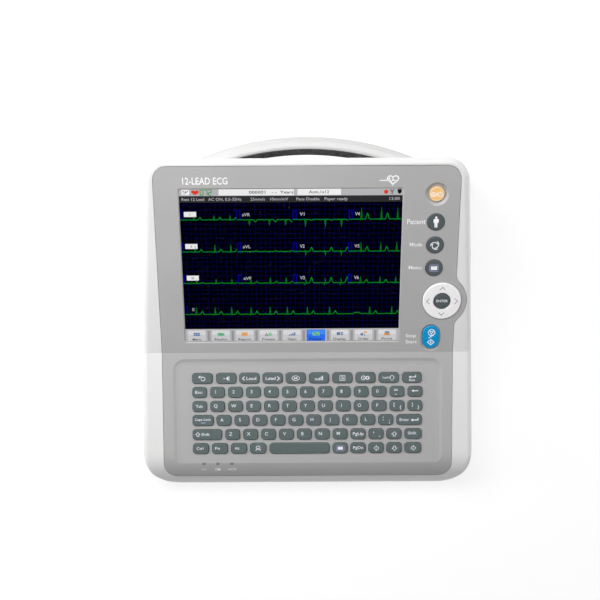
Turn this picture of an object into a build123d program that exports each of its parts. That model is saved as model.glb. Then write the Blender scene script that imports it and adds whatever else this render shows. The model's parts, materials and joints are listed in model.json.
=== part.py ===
from build123d import *
import math
import os

# Desk-top electrocardiograph with a carry handle, millimetres, +Z up.
# Origin: centre of the footprint, on the surface the rubber feet stand on.
# -Y is the keyboard edge (operator side), +Y the carry handle, +X the button column.

os.makedirs("parts", exist_ok=True)

# ----------------------------------------------------------------------------
# driving dimensions
# ----------------------------------------------------------------------------
Z_BASE = 3.0            # underside of the case above the table (foot height)
Z_WIDE = 27.0           # height of the widest line of the case
Z_TOP_LOFT = 130.0      # construction height of the flank cones
HALF_W = 167.0          # half width at the widest line
HALF_W_BASE = 163.5     # half width at the base
FLANK = 0.195           # inward lean of the flanks, mm per mm of height
Y_FRONT = -173.9        # front wall
Y_REAR = 155.0          # rear wall at the widest line
Y_REAR_BASE = 152.0
Y_REAR_LOFT = 145.0
R_FRONT, R_REAR = 35.0, 20.0   # plan corner radii
R_NOSE = 38.0           # roll of the front edge
NOSE_Y, NOSE_Z = -137.1, 1.08
KEY_TILT = 5.0          # keyboard plane, degrees
SCR_TILT = 20.0         # display plane, degrees
Y_CREASE, Z_CREASE = -37.92, 47.907
R_TOP = 5.0             # top edge rounding
R_BOTTOM = 3.0
WALL = 2.5              # case wall
PANEL_T = 3.2           # grey panel thickness
LEDGE_T = 2.5           # ledge below the panel
LEDGE_W = 6.0
PANEL_X = 145.0         # half width of the grey panel
PANEL_Y0, PANEL_Y1 = -164.4, 139.6
PANEL_R = 13.5
PANEL_GAP = 0.4

WIN_W, WIN_H = 211.2, 154.95       # display window (10.4 inch, 4:3)
WIN_X, WIN_V = -15.2, 89.1         # its centre in the display plane
REC_X0, REC_X1 = -134.4, 134.8     # keyboard recess
REC_Y0, REC_Y1 = -160.0, -44.0
REC_D = 1.2

BTN_X = 122.55
POWER_Y, PATIENT_Y, MODE_Y, MENU_Y, START_Y = 113.2, 87.8, 66.4, 44.8, -22.9
DPAD_X, DPAD_Y = 131.7, 12.8
R_DPAD, R_DPAD_HOLE, R_ENTER = 18.85, 8.5, 7.95
TRAVEL = 1.2            # button and key travel

HANDLE_R = 274.0        # outer arc of the handle in plan
HANDLE_APEX = 173.9
HANDLE_W = 13.2
HANDLE_Z0, HANDLE_Z1 = 46.0, 72.0
POCKET_X, POCKET_Y = 78.0, 126.0   # finger pocket in the rear wall
POCKET_Z0, POCKET_Z1 = 38.0, 92.0

ROLL_X, ROLL_Z = -150.0, 14.5      # platen roller axis
MOD = 0.6               # gear module
N_PLATEN, N_IDLER, N_PINION = 24, 24, 12

sk, ck = math.sin(math.radians(KEY_TILT)), math.cos(math.radians(KEY_TILT))
ss, cs = math.sin(math.radians(SCR_TILT)), math.cos(math.radians(SCR_TILT))
KEYP = Plane(origin=(0, Y_CREASE, Z_CREASE), x_dir=(1, 0, 0), z_dir=(0, -sk, ck))
SCRP = Plane(origin=(0, Y_CREASE, Z_CREASE), x_dir=(1, 0, 0), z_dir=(0, -ss, cs))


def kv(y):
    return (y - Y_CREASE) / ck


def sv(y):
    return (y - Y_CREASE) / cs


# ----------------------------------------------------------------------------
# helpers
# ----------------------------------------------------------------------------
written = {}


def save(name, shape):
    sol = list(shape.solids())
    comp = Compound(children=sol) if len(sol) > 1 else sol[0]
    comp.label = name
    export_step(comp, "parts/" + name + ".step")
    written[name] = (len(sol), sum(s.volume for s in sol))


def box(x0, x1, y0, y1, z0, z1):
    return Pos((x0 + x1) / 2, (y0 + y1) / 2, (z0 + z1) / 2) * Box(x1 - x0, y1 - y0, z1 - z0)


def rbox(x0, x1, y0, y1, z0, z1, r):
    """Block with rounded vertical edges."""
    s = Pos((x0 + x1) / 2, (y0 + y1) / 2, z0) * RectangleRounded(x1 - x0, y1 - y0, r)
    return extrude(s, amount=z1 - z0, dir=(0, 0, 1))


def cyl(x, y, z0, z1, r):
    return Pos(x, y, (z0 + z1) / 2) * Cylinder(r, z1 - z0)


def cyl_y(x, z, y0, y1, r):
    return Pos(x, (y0 + y1) / 2, z) * Rot(90, 0, 0) * Cylinder(r, y1 - y0)


def cyl_x(y, z, x0, x1, r):
    return Pos((x0 + x1) / 2, y, z) * Rot(0, 90, 0) * Cylinder(r, x1 - x0)


def on(plane, x, v, shape2d, d0, d1, taper=0.0):
    """Extrude a 2-D shape placed at (x, v) of a sloped plane, from depth d0 down to depth d1
    below the surface. Negative depth stands proud of the surface."""
    sk2 = plane * Pos(x, v, -d1) * shape2d
    return extrude(sk2, amount=d1 - d0, dir=tuple(plane.z_dir), taper=taper)


def ring(z, hx, y0, y1, rf, rr):
    c = math.cos(math.pi / 4)

    def p(x, y):
        return (x, y, z)
    return Wire([
        Edge.make_line(p(-hx + rf, y0), p(hx - rf, y0)),
        Edge.make_three_point_arc(p(hx - rf, y0), p(hx - rf + rf * c, y0 + rf - rf * c), p(hx, y0 + rf)),
        Edge.make_line(p(hx, y0 + rf), p(hx, y1 - rr)),
        Edge.make_three_point_arc(p(hx, y1 - rr), p(hx - rr + rr * c, y1 - rr + rr * c), p(hx - rr, y1)),
        Edge.make_line(p(hx - rr, y1), p(-hx + rr, y1)),
        Edge.make_three_point_arc(p(-hx + rr, y1), p(-hx + rr - rr * c, y1 - rr + rr * c), p(-hx, y1 - rr)),
        Edge.make_line(p(-hx, y1 - rr), p(-hx, y0 + rf)),
        Edge.make_three_point_arc(p(-hx, y0 + rf), p(-hx + rf - rf * c, y0 + rf - rf * c), p(-hx + rf, y0)),
    ])


def side_profile(t):
    """Side view of everything below the top surfaces, moved inwards by t."""
    a = math.radians(KEY_TILT)
    tp = (0, NOSE_Y - R_NOSE * math.sin(a), NOSE_Z + R_NOSE * math.cos(a))
    mid = math.radians((KEY_TILT + 90) / 2)
    am = (0, NOSE_Y - R_NOSE * math.sin(mid), NOSE_Z + R_NOSE * math.cos(mid))
    end = (0, NOSE_Y - R_NOSE, NOSE_Z)
    far = 185.0
    top = (0, far, Z_CREASE + (far - Y_CREASE) * ss / cs)
    cr = (0, Y_CREASE, Z_CREASE)
    w = Wire([
        Edge.make_line(end, (0, NOSE_Y - R_NOSE, -20)),
        Edge.make_line((0, NOSE_Y - R_NOSE, -20), (0, far, -20)),
        Edge.make_line((0, far, -20), top),
        Edge.make_line(top, cr),
        Edge.make_line(cr, tp),
        Edge.make_three_point_arc(tp, am, end),
    ])
    f = Face(w)
    if t:
        f = offset(f, amount=-t, kind=Kind.INTERSECTION).faces()[0]
    return extrude(f, amount=200, both=True, dir=(1, 0, 0))


def body(t=0.0):
    """Whole outer form of the case, moved inwards by t."""
    lo = ring(Z_BASE + t, HALF_W_BASE - t, Y_FRONT + t, Y_REAR_BASE - t, R_FRONT - t, R_REAR - t)
    mi = ring(Z_WIDE, HALF_W - t, Y_FRONT + t, Y_REAR - t, R_FRONT - t, R_REAR - t)
    hi = ring(Z_TOP_LOFT, HALF_W - FLANK * (Z_TOP_LOFT - Z_WIDE) - t, Y_FRONT + t, Y_REAR_LOFT - t,
              R_FRONT - 2 - t, R_REAR - 2 - t)
    s = Part(Solid.make_loft([lo, mi], ruled=True).wrapped) + Part(Solid.make_loft([mi, hi], ruled=True).wrapped)
    return s & side_profile(t)


# ----------------------------------------------------------------------------
# outer form with its rounded edges
# ----------------------------------------------------------------------------
raw = body(0.0)


def is_top(f):
    n = f.normal_at()
    return abs(n.X) < 1e-6 and n.Z > 0.05 and n.Y < 0.0


tops = [f for f in raw.faces() if is_top(f)]
rim = []
for f in tops:
    for e in f.edges():
        if sum(1 for g in tops for x in g.edges() if e.is_same(x)) == 1:
            rim.append(e)
outer = fillet(rim, R_TOP)
bottom = [e for e in outer.edges() if abs(e.center().Z - Z_BASE) < 1e-4 and e.bounding_box().size.Z < 1e-4]
outer = fillet(bottom, R_BOTTOM)
in_wall = body(WALL)
in_panel = body(PANEL_T)
in_ledge = body(PANEL_T + LEDGE_T)


# plan outline of the grey panel, with the round bulge beside the direction ring
def panel_plan(grow):
    r = Pos(0, (PANEL_Y0 + PANEL_Y1) / 2) * Rectangle(2 * PANEL_X, PANEL_Y1 - PANEL_Y0)
    r = fillet(r.vertices(), PANEL_R)
    c = Pos(DPAD_X, DPAD_Y) * Circle(24.4)
    s = r + c
    inner = [v for v in s.vertices() if abs(v.X - PANEL_X) < 1e-3 and abs(v.Y - DPAD_Y) < 24]
    s = fillet(inner, 9.0)
    if grow:
        s = offset(s, amount=grow, kind=Kind.ARC)
    return s


def panel_prism(grow, z0=10.0, z1=150.0):
    return extrude(Pos(0, 0, z0) * panel_plan(grow), amount=z1 - z0, dir=(0, 0, 1))


# parting surface between the lower and the upper case: level along the flanks,
# stepping down towards the front corners
def below(dz):
    w = Polyline((0, -200, -10), (0, -200, 14 + dz), (0, -152, 14 + dz), (0, -139, Z_WIDE + dz),
                 (0, 200, Z_WIDE + dz), (0, 200, -10), close=True)
    return extrude(Face(Wire(w.edges())), amount=200, both=True, dir=(1, 0, 0))


PART_GAP = 0.3
zone_low = below(-PART_GAP)
zone_part = below(0.0)

# ----------------------------------------------------------------------------
# cut-outs shared by the case halves
# ----------------------------------------------------------------------------
# finger pocket under the top rear edge
pocket = box(-POCKET_X, POCKET_X, POCKET_Y, 175, POCKET_Z0, POCKET_Z1)
pk_e = [e for e in pocket.edges() if e.center().Y < 170 and
        (abs(e.center().Y - POCKET_Y) < 1e-3 or e.bounding_box().size.Y > 10)]
pocket = fillet(pk_e, 7.0)
pocket_skin = box(-POCKET_X - WALL, POCKET_X + WALL, POCKET_Y - WALL, 175, POCKET_Z0 - WALL, POCKET_Z1 + WALL)
ps_e = [e for e in pocket_skin.edges() if e.center().Y < 170 and
        (abs(e.center().Y - (POCKET_Y - WALL)) < 1e-3 or e.bounding_box().size.Y > 10)]
pocket_skin = fillet(ps_e, 7.0 + WALL)

INLET_X, INLET_Z = -112.0, 17.0
inlet_hole = box(INLET_X - 14.2, INLET_X + 14.2, 140, 160, INLET_Z - 10.2, INLET_Z + 10.2)
PORT_X, PORT_Z = 118.0, 16.5
port_hole = box(PORT_X - 22.3, PORT_X + 22.3, 140, 160, PORT_Z - 8.3, PORT_Z + 8.3)
STUD_X, STUD_Z = -84.0, 17.0
PC_Y, PC_Z = 60.0, 15.0
pc_hole = box(150, 170, PC_Y - 13.4, PC_Y + 13.4, PC_Z - 5.2, PC_Z + 5.2)
pc_screws = [cyl_x(PC_Y + s * 16.65, PC_Z, 150, 170, 2.9) for s in (-1, 1)]
DR_Y0, DR_Y1, DR_Z0, DR_Z1 = -74.4, 58.4, 5.9, 24.6      # paper drawer opening
drawer_hole = box(-175, -156, DR_Y0, DR_Y1, DR_Z0, DR_Z1)
REL_Y, REL_Z = 68.5, 15.0
rel_hole = cyl_x(REL_Y, REL_Z, -175, -156, 4.4)

vents = []
for i in range(6):
    x = 113.0 + 5.5 * i
    vents.append(Pos(x, 150, 83) * Rot(90, 0, 0) * extrude(SlotOverall(24, 2.6, rotation=90), amount=14, both=True))
    vents.append(Pos(-x, 150, 83) * Rot(90, 0, 0) * extrude(SlotOverall(24, 2.6, rotation=90), amount=14, both=True))

SCREWS = [(-151, -120), (151, -120), (151, -30), (-151, 90), (-147, 130), (147, 130)]

# ----------------------------------------------------------------------------
# lower case
# ----------------------------------------------------------------------------
lower = (outer - in_wall) & zone_low
lower -= panel_prism(0.0, 8.0, 60.0)
for x, y in SCREWS:
    lower += cyl(x, y, 4.0, 25.0 if y > -150 else 12.0, 4.2) & below(-PART_GAP - 1.0)
for x, y in SCREWS:
    lower -= cyl(x, y, -1, 7.0, 3.3)
    lower -= cyl(x, y, -1, 40.0, 1.7)
FEET = [(-132, -138), (132, -138), (-132, 125), (132, 125)]
for x, y in FEET:
    lower -= cyl(x, y, 0, 4.0, 10.2)
# battery bay in the floor, closed by a cover
BAT_X0, BAT_X1, BAT_Y0, BAT_Y1 = -45.0, 105.0, 62.0, 124.0
lower -= rbox(BAT_X0 - 4, BAT_X1 + 4, BAT_Y0 - 4, BAT_Y1 + 4, 0, 5.0, 4.0)
lower -= rbox(BAT_X0, BAT_X1, BAT_Y0, BAT_Y1, 0, 8.0, 2.0)
bat_wall = rbox(BAT_X0 - 1.8, BAT_X1 + 1.8, BAT_Y0 - 1.8, BAT_Y1 + 1.8, 5.0, 20.0, 3.0) \
    - rbox(BAT_X0, BAT_X1, BAT_Y0, BAT_Y1, 0, 30, 2.0)
lower += bat_wall
# speaker grille
SPK_X, SPK_Y = 92.0, -112.0
grille = [Pos(SPK_X, SPK_Y + 5.0 * i, 4) * extrude(SlotOverall(34 - abs(i) * 4, 2.2), amount=8, both=True)
          for i in range(-3, 4)]
lower -= grille
# intake slots
lower -= [Pos(40 + 6.0 * i, 15, 4) * extrude(SlotOverall(34, 2.4, rotation=90), amount=8, both=True) for i in range(8)]
# board standoffs
MB_X0, MB_X1, MB_Y0, MB_Y1 = 14.0, 145.5, -76.0, 54.0
MBS = [(20, -70), (140, -70), (20, 48), (128, 48)]
for x, y in MBS:
    lower += cyl(x, y, 5.0, 9.0, 3.2)
    lower -= cyl(x, y, 5.6, 30.0, 1.27)
PSU = [(-138, 92), (-60, 92), (-138, 120), (-60, 120)]
for x, y in PSU:
    lower += cyl(x, y, 5.0, 8.0, 3.2)
    lower -= cyl(x, y, 5.6, 30.0, 1.27)
lower -= inlet_hole
lower -= port_hole
lower -= pc_hole
for c in pc_screws:
    lower -= c
lower -= drawer_hole
lower -= rel_hole
lower -= cyl_y(STUD_X, STUD_Z, 140, 160, 2.85)
save("lower_case", lower)

# ----------------------------------------------------------------------------
# upper case: white frame, flanks and rear wall with the finger pocket
# ----------------------------------------------------------------------------
upper = (outer - in_wall) - zone_part
upper -= panel_prism(0.0)
ledge_side = (body(WALL - 0.1) - in_ledge) & (panel_prism(3.5) - panel_prism(0.0))
ledge = (in_panel - in_ledge) & (panel_prism(0.6) - panel_prism(-LEDGE_W))
upper += (ledge_side - zone_part)
upper += (ledge - zone_part)
upper += (pocket_skin & outer)
upper -= pocket
# inner lip that reaches down inside the lower case
lip_hi = (body(WALL - 0.1) - body(WALL + 1.4)) & (below(2.0) - below(0.0))
lip_lo = (body(WALL + 0.12) - body(WALL + 1.4)) & (below(0.0) - below(-2.4))
upper += lip_hi
upper += lip_lo
# the rear posts stop under the panel
panel_room = (outer - in_panel) & panel_prism(0.0)
for x, y in SCREWS:
    h = 45.0 if y < -30 else (60.0 if y < 60 else 120.0)
    post = cyl(x, y, 26.0, h, 4.2) & body(0.8)
    if y > 100:
        post -= panel_room
    upper += post
for x, y in SCREWS:
    upper -= cyl(x, y, 20.0, 36.0, 1.5)
# room below the panel for the direction ring's flange
upper -= on(SCRP, DPAD_X, sv(DPAD_Y), Circle(21.6), PANEL_T + 0.0, 14.0)
upper -= inlet_hole
upper -= port_hole
for v in vents:
    upper -= v
upper -= drawer_hole
upper -= pc_hole
upper -= rel_hole
for c in pc_screws:
    upper -= c
# handle screws come through the rear wall
HS = [(-92, 60), (92, 60)]
for x, z in HS:
    upper -= cyl_y(x, z, 130, 160, 1.7)
save("upper_case", upper)

# ----------------------------------------------------------------------------
# grey front panel
# ----------------------------------------------------------------------------
panel = (outer - in_panel) & panel_prism(-PANEL_GAP, 15.0)
# display window with a chamfered rim, and the glass seat behind it
panel -= on(SCRP, WIN_X, WIN_V, RectangleRounded(WIN_W, WIN_H, 1.2), -2, 6)
win_ch = SCRP * Pos(WIN_X, WIN_V, -0.9) * RectangleRounded(WIN_W, WIN_H, 1.2)
panel -= extrude(win_ch, amount=2.0, dir=tuple(SCRP.z_dir), taper=-45)
panel -= on(SCRP, WIN_X, WIN_V, RectangleRounded(WIN_W + 10, WIN_H + 10, 2), 1.7, 6)
# keyboard recess, running out over the front roll
REC_W = 6.0                                        # width of the sloped edge between rim and floor


def rec_section(inset, depth):
    """Outline of the recess at one depth, inset from its rim."""
    return KEYP * Pos((REC_X0 + REC_X1) / 2, (kv(REC_Y0) + kv(REC_Y1)) / 2, -depth) * RectangleRounded(
        REC_X1 - REC_X0 - 2 * inset, kv(REC_Y1) - kv(REC_Y0) - 2 * inset, 12.0 - inset)


rec = loft([rec_section(REC_W, REC_D), rec_section(REC_W / 2, 0.76 * REC_D), rec_section(0.0, 0.0)], ruled=True)
rec += on(KEYP, (REC_X0 + REC_X1) / 2, (kv(REC_Y0) + kv(REC_Y1)) / 2,
          RectangleRounded(REC_X1 - REC_X0, kv(REC_Y1) - kv(REC_Y0), 12.0), -6, 0.0)
panel -= rec

# key table: (x0, x1) of every cap, row by row, and the row positions
ROW_Y = [-63.6, -77.8, -92.0, -106.2, -120.5, -134.7]
ROWS = [
    [(-115.3, -95.0), (-91.2, -71.2), (-68.0, -48.2), (-44.7, -25.0), (-21.6, -1.9), (1.8, 21.5), (25.1, 44.8),
     (48.3, 67.9), (71.5, 91.2), (94.8, 114.2)],
    [(-115.3 + 18.0 * i - 0.02 * i, -100.9 + 18.0 * i - 0.02 * i) for i in range(13)],
    [(-115.3 + 18.0 * i - 0.02 * i, -100.9 + 18.0 * i - 0.02 * i) for i in range(13)],
    [(-115.4, -94.3)] + [(-91.3 + 18.05 * i, -76.7 + 18.05 * i) for i in range(10)] + [(89.4, 114.4)],
    [(-115.5, -86.1)] + [(-82.7 + 18.0 * i, -68.0 + 18.0 * i) for i in range(10)] + [(97.5, 114.4)],
    [(-115.4, -99.5), (-96.3, -80.4), (-77.2, -61.2), (-57.9, -41.9), (-38.3, 22.0), (25.2, 40.0), (43.2, 58.1),
     (61.3, 76.3), (79.4, 94.4), (97.5, 113.9)],
]
KEY_H = 10.6
KEY_R = 3.4
caps = {}
for r, row in enumerate(ROWS):
    for c, (x0, x1) in enumerate(row):
        caps[(r + 1, c + 1)] = ((x0 + x1) / 2, kv(ROW_Y[r]), x1 - x0, KEY_H)

holes = None
for (r, c), (x, v, w, h) in caps.items():
    s = Pos(x, v) * RectangleRounded(w + 0.7, h + 0.7, KEY_R + 0.35)
    holes = s if holes is None else holes + s
panel -= extrude(KEYP * Pos(0, 0, -6.0) * holes, amount=10.0, dir=tuple(KEYP.z_dir))
# round buttons, direction ring and start/stop capsule
for y, r in ((PATIENT_Y, 8.65), (MODE_Y, 8.65), (MENU_Y, 8.65)):
    panel -= on(SCRP, BTN_X, sv(y), Circle(r), -2, 8)
# dished surround of the power button
panel -= on(SCRP, BTN_X, sv(POWER_Y), Circle(7.65), -2, 8)
dish = SCRP * Pos(BTN_X, sv(POWER_Y), -1.9) * Circle(8.9)
panel -= extrude(dish, amount=1.9, dir=tuple(SCRP.z_dir), taper=-52.5)
panel -= on(SCRP, DPAD_X, sv(DPAD_Y), Circle(R_DPAD + 0.5), -2, 8)
panel -= on(SCRP, BTN_X - 0.15, sv(START_Y), SlotOverall(24.6, 17.2, rotation=90), -2, 8)
st_e = SCRP * Pos(BTN_X - 0.15, sv(START_Y) - 0.6, -0.8) * SlotOverall(26.6, 18.6, rotation=90)
panel -= extrude(st_e, amount=3.0, dir=tuple(SCRP.z_dir), taper=-40)
# light-pipe holes
LEDS = [(-104.7, -150.6), (-90.8, -150.6), (-76.6, -150.6)]
for x, y in LEDS:
    panel -= Pos(x, y, 30) * extrude(SlotOverall(3.9, 2.7), amount=20, dir=(0, 0, 1))
# bosses below the panel
boss_scr = [(-133.4, 20.0), (-133.4, 158.0), (102.9, 20.0), (102.9, 158.0)]
for x, v in boss_scr:
    panel += on(SCRP, x, v, Circle(3.4), 3.0, 9.0)
    panel -= on(SCRP, x, v, Circle(1.25), 4.5, 9.5)
boss_btn = [(136.0, 100.0), (136.0, 148.0), (114.6, 122.4), (136.0, 14.0)]
for x, v in boss_btn:
    panel += on(SCRP, x, v, Circle(2.6), 3.0, 9.6)
    panel -= on(SCRP, x, v, Circle(1.0), 5.0, 9.9)
boss_key = [(s * 127.5, kv(y)) for s in (-1, 1) for y in (-58.0, -98.0, -138.0)]
for x, v in boss_key:
    panel += on(KEYP, x, v, Circle(2.6), 3.0, 6.9)
    panel -= on(KEYP, x, v, Circle(1.0), 4.2, 7.2)
save("front_panel", panel)

# ----------------------------------------------------------------------------
# keys
# ----------------------------------------------------------------------------
def key(x, v, w, h):
    top = on(KEYP, x, v, RectangleRounded(w, h, KEY_R), -0.45, 3.4)
    te = [e for e in top.edges() if KEYP.to_local_coords(e.center()).Z > 0.44]
    top = fillet(te, 0.7)
    fl = on(KEYP, x, v, RectangleRounded(w + 2.0, h + 1.6, KEY_R + 0.6), 3.4, 4.1)
    stem = on(KEYP, x, v, RectangleRounded(4.0, 3.0, 0.6), 4.1, 4.6)
    return (top + fl + stem).solids()[0]


groups = {
    "number_keys": [(2, c) for c in range(2, 13)] + [(3, 12), (3, 13), (4, 11), (5, 10)],
    "letter_keys": [(3, c) for c in range(2, 12)] + [(4, c) for c in range(2, 11)] + [(5, c) for c in range(2, 9)],
    "modifier_keys": [(2, 1), (3, 1), (4, 1), (5, 1), (5, 12), (6, 1), (6, 2), (6, 3), (6, 4), (6, 6)],
    "cursor_keys": [(5, 9), (5, 11), (6, 7), (6, 8), (6, 9), (6, 10), (2, 13)],
    "keyboard_enter_key": [(4, 12)],
    "space_bar": [(6, 5)],
}
for i in range(10):
    groups["function_key_%02d" % (i + 1)] = [(1, i + 1)]
used = [k for g in groups.values() for k in g]
assert len(used) == len(set(used)) == len(caps) == 70, (len(used), len(caps))
for name, ks in groups.items():
    save(name, Compound(children=[key(*caps[k]) for k in ks]))

# silicone contact mat and keyboard circuit board
mat = on(KEYP, 0, (kv(-142.5) + kv(-55.0)) / 2, RectangleRounded(242, kv(-55.0) - kv(-142.5), 3), 5.95, 6.9)
save("keypad_mat", mat)
kb_v0, kb_v1 = kv(-151.5), kv(-50.0)
kpcb = on(KEYP, 0, (kb_v0 + kb_v1) / 2, RectangleRounded(262, kb_v1 - kb_v0, 2), 6.9, 8.5)
for x, v in boss_key:
    kpcb -= on(KEYP, x, v, Circle(1.1), 6, 9)
kpcb += on(KEYP, -60, kv(-100), Rectangle(14, 14), 8.5, 9.6)
kpcb += on(KEYP, 60, kv(-90), Rectangle(30, 5), 8.5, 13.0)
for x, y in LEDS:
    kpcb += on(KEYP, x, kv(-149.6), Rectangle(2.4, 1.6), 6.2, 6.9)
save("keyboard_board", kpcb)
pipes = []
for x, y in LEDS:
    p = Pos(x, y, 30) * extrude(SlotOverall(3.5, 2.3), amount=20, dir=(0, 0, 1))
    p = (p & outer) - on(KEYP, x, kv(y), Rectangle(20, 20), 5.4, 30)
    pipes.append(p.solids()[0])
save("light_pipes", Compound(children=pipes))

# ----------------------------------------------------------------------------
# display stack
# ----------------------------------------------------------------------------
glass = on(SCRP, WIN_X, WIN_V, RectangleRounded(WIN_W + 9, WIN_H + 9, 1.6), 1.7, 2.8)
save("screen_glass", glass)
lcd = on(SCRP, WIN_X, WIN_V, RectangleRounded(228, 170, 1.0), 3.3, 8.6)
# raised bezel that the cover glass rests on
lcd += on(SCRP, WIN_X, WIN_V, RectangleRounded(WIN_W + 9, WIN_H + 9, 1.6), 2.8, 3.4) \
    - on(SCRP, WIN_X, WIN_V, Rectangle(WIN_W + 1, WIN_H + 1), 2, 4)
save("lcd_module", lcd)
brk = on(SCRP, WIN_X, WIN_V, RectangleRounded(246, 166, 3), 9.0, 10.2)
for i in (-1, 0, 1):
    for j in (-1, 1):
        brk -= on(SCRP, WIN_X + i * 62, WIN_V + j * 36, RectangleRounded(30, 30, 6), 8, 11)
for x, v in boss_scr:
    brk -= on(SCRP, x, v, Circle(1.5), 8, 12)
save("display_bracket", brk)

# ----------------------------------------------------------------------------
# buttons on the display plane
# ----------------------------------------------------------------------------
def round_button(x, v, r, top, crown, flange):
    b = on(SCRP, x, v, Circle(r), top, 3.5)
    te = [e for e in b.edges() if SCRP.to_local_coords(e.center()).Z > -top - 0.01]
    b = fillet(te, crown)
    b += on(SCRP, x, v, Circle(r + flange), 3.5, 4.5)
    b += on(SCRP, x, v, Circle(2.2), 4.5, 6.5)
    return b


save("power_button", round_button(BTN_X, sv(POWER_Y), 7.3, 0.7, 0.5, 1.3))
for nm, y in (("patient_button", PATIENT_Y), ("mode_button", MODE_Y), ("menu_button", MENU_Y)):
    save(nm, round_button(BTN_X, sv(y), 8.25, -0.9, 0.8, 1.2))
cap = on(SCRP, BTN_X - 0.15, sv(START_Y), SlotOverall(23.8, 16.4, rotation=90), -0.8, 3.5)
te = [e for e in cap.edges() if SCRP.to_local_coords(e.center()).Z > 0.79]
cap = fillet(te, 0.7)
cap += on(SCRP, BTN_X - 0.15, sv(START_Y), SlotOverall(26.0, 18.6, rotation=90), 3.5, 4.5)
cap += on(SCRP, BTN_X - 0.15, sv(START_Y), Circle(2.2), 4.5, 6.5)
save("start_stop_button", cap)

# direction ring: crowned annulus on a gimbal, ENTER in its centre
DV = sv(DPAD_Y)
PIVOT_D = 7.6
ring_s = on(SCRP, DPAD_X, DV, Circle(R_DPAD), -1.3, 4.4)
te = [e for e in ring_s.edges() if SCRP.to_local_coords(e.center()).Z > 1.29]
ring_s = fillet(te, 1.2)
ring_s -= on(SCRP, DPAD_X, DV, Circle(R_DPAD_HOLE), -4, 8)
te = [e for e in ring_s.edges() if SCRP.to_local_coords(e.center()).Z > 1.29 and e.length < 2 * math.pi * (R_DPAD_HOLE + 0.2)]
ring_s = fillet(te, 0.5)
ring_s += on(SCRP, DPAD_X, DV, Circle(20.2), 4.4, 5.3) - on(SCRP, DPAD_X, DV, Circle(R_DPAD_HOLE + 2.2), 4, 6)
for s in (-1, 1):
    lug = on(SCRP, DPAD_X, DV + s * 17.0, Rectangle(3.4, 2.4), 5.3, 8.9)
    pin_hole = SCRP * Pos(DPAD_X, DV + s * 17.0, -PIVOT_D) * Rot(90, 0, 0) * Cylinder(0.75, 6)
    ring_s += lug - pin_hole
save("direction_ring", ring_s)
rocker = on(SCRP, DPAD_X, DV, Circle(15.2), 6.9, 8.3) - on(SCRP, DPAD_X, DV, Circle(11.6), 6, 9)
for s in (-1, 1):
    rocker += SCRP * Pos(DPAD_X, DV + s * 16.6, -PIVOT_D) * Rot(90, 0, 0) * Cylinder(0.7, 3.4)
    rocker += SCRP * Pos(DPAD_X + s * 17.0, DV, -PIVOT_D) * Rot(0, 90, 0) * Cylinder(0.7, 4.2)
save("ring_rocker", rocker)
ent = on(SCRP, DPAD_X, DV, Circle(R_ENTER), -1.0, 7.9)
te = [e for e in ent.edges() if SCRP.to_local_coords(e.center()).Z > 0.99]
ent = fillet(te, 0.7)
ent += on(SCRP, DPAD_X, DV, Circle(9.4), 7.9, 8.4)
save("enter_button", ent)

bpcb = on(SCRP, 127.5, 87.5, RectangleRounded(31, 175, 2), 9.8, 11.2) \
    + on(SCRP, DPAD_X, DV, Circle(21.0), 9.8, 11.2)
for s in (-1, 1):
    post = on(SCRP, DPAD_X + s * 18.0, DV, Rectangle(1.9, 3.4), 6.45, 9.8)
    hole = SCRP * Pos(DPAD_X + s * 18.0, DV, -PIVOT_D) * Rot(0, 90, 0) * Cylinder(0.75, 6)
    bpcb += post - hole
for y in (POWER_Y, PATIENT_Y, MODE_Y, MENU_Y, START_Y):
    bpcb += on(SCRP, BTN_X, sv(y), Rectangle(6, 6), 8.2, 9.8)
bpcb += on(SCRP, 118, 66, Rectangle(5, 22), 11.2, 15.0)
for x, v in boss_btn:
    bpcb -= on(SCRP, x, v, Circle(1.1), 9, 12)
save("button_board", bpcb)

# ----------------------------------------------------------------------------
# handle: two half shells and a soft grip, in front of the finger pocket
# ----------------------------------------------------------------------------
HCY = HANDLE_APEX - HANDLE_R


def arc_band(r0, r1, z0, z1, cy=HCY):
    return Pos(0, cy, (z0 + z1) / 2) * (Cylinder(r1, z1 - z0) - Cylinder(r0, z1 - z0))


band = arc_band(HANDLE_R - HANDLE_W, HANDLE_R, HANDLE_Z0, HANDLE_Z1)
he = [e for e in band.edges() if e.geom_type == GeomType.CIRCLE and abs(e.radius - HANDLE_R) < 1e-3]
band = fillet(he, 6.0)
he = [e for e in band.edges() if e.geom_type == GeomType.CIRCLE and abs(e.radius - (HANDLE_R - HANDLE_W)) < 1e-3]
band = fillet(he, 3.5)
hollow = arc_band(HANDLE_R - HANDLE_W + 2.2, HANDLE_R - 2.4, HANDLE_Z0 + 2.4, HANDLE_Z1 - 2.4)
window = box(-112, 112, 120, 190, 30, 90)
solid_wall = outer - pocket
R_SEAM = HANDLE_R - 5.3
rear_half = (band - hollow) & arc_band(R_SEAM + 0.15, HANDLE_R + 5, 40, 80) & window
rear_half -= solid_wall
front_half = (band - hollow) & arc_band(HANDLE_R - HANDLE_W - 5, R_SEAM, 40, 80) & window
# the inner ends run on into the finger pocket as far as its side walls
front_half -= solid_wall
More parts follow.
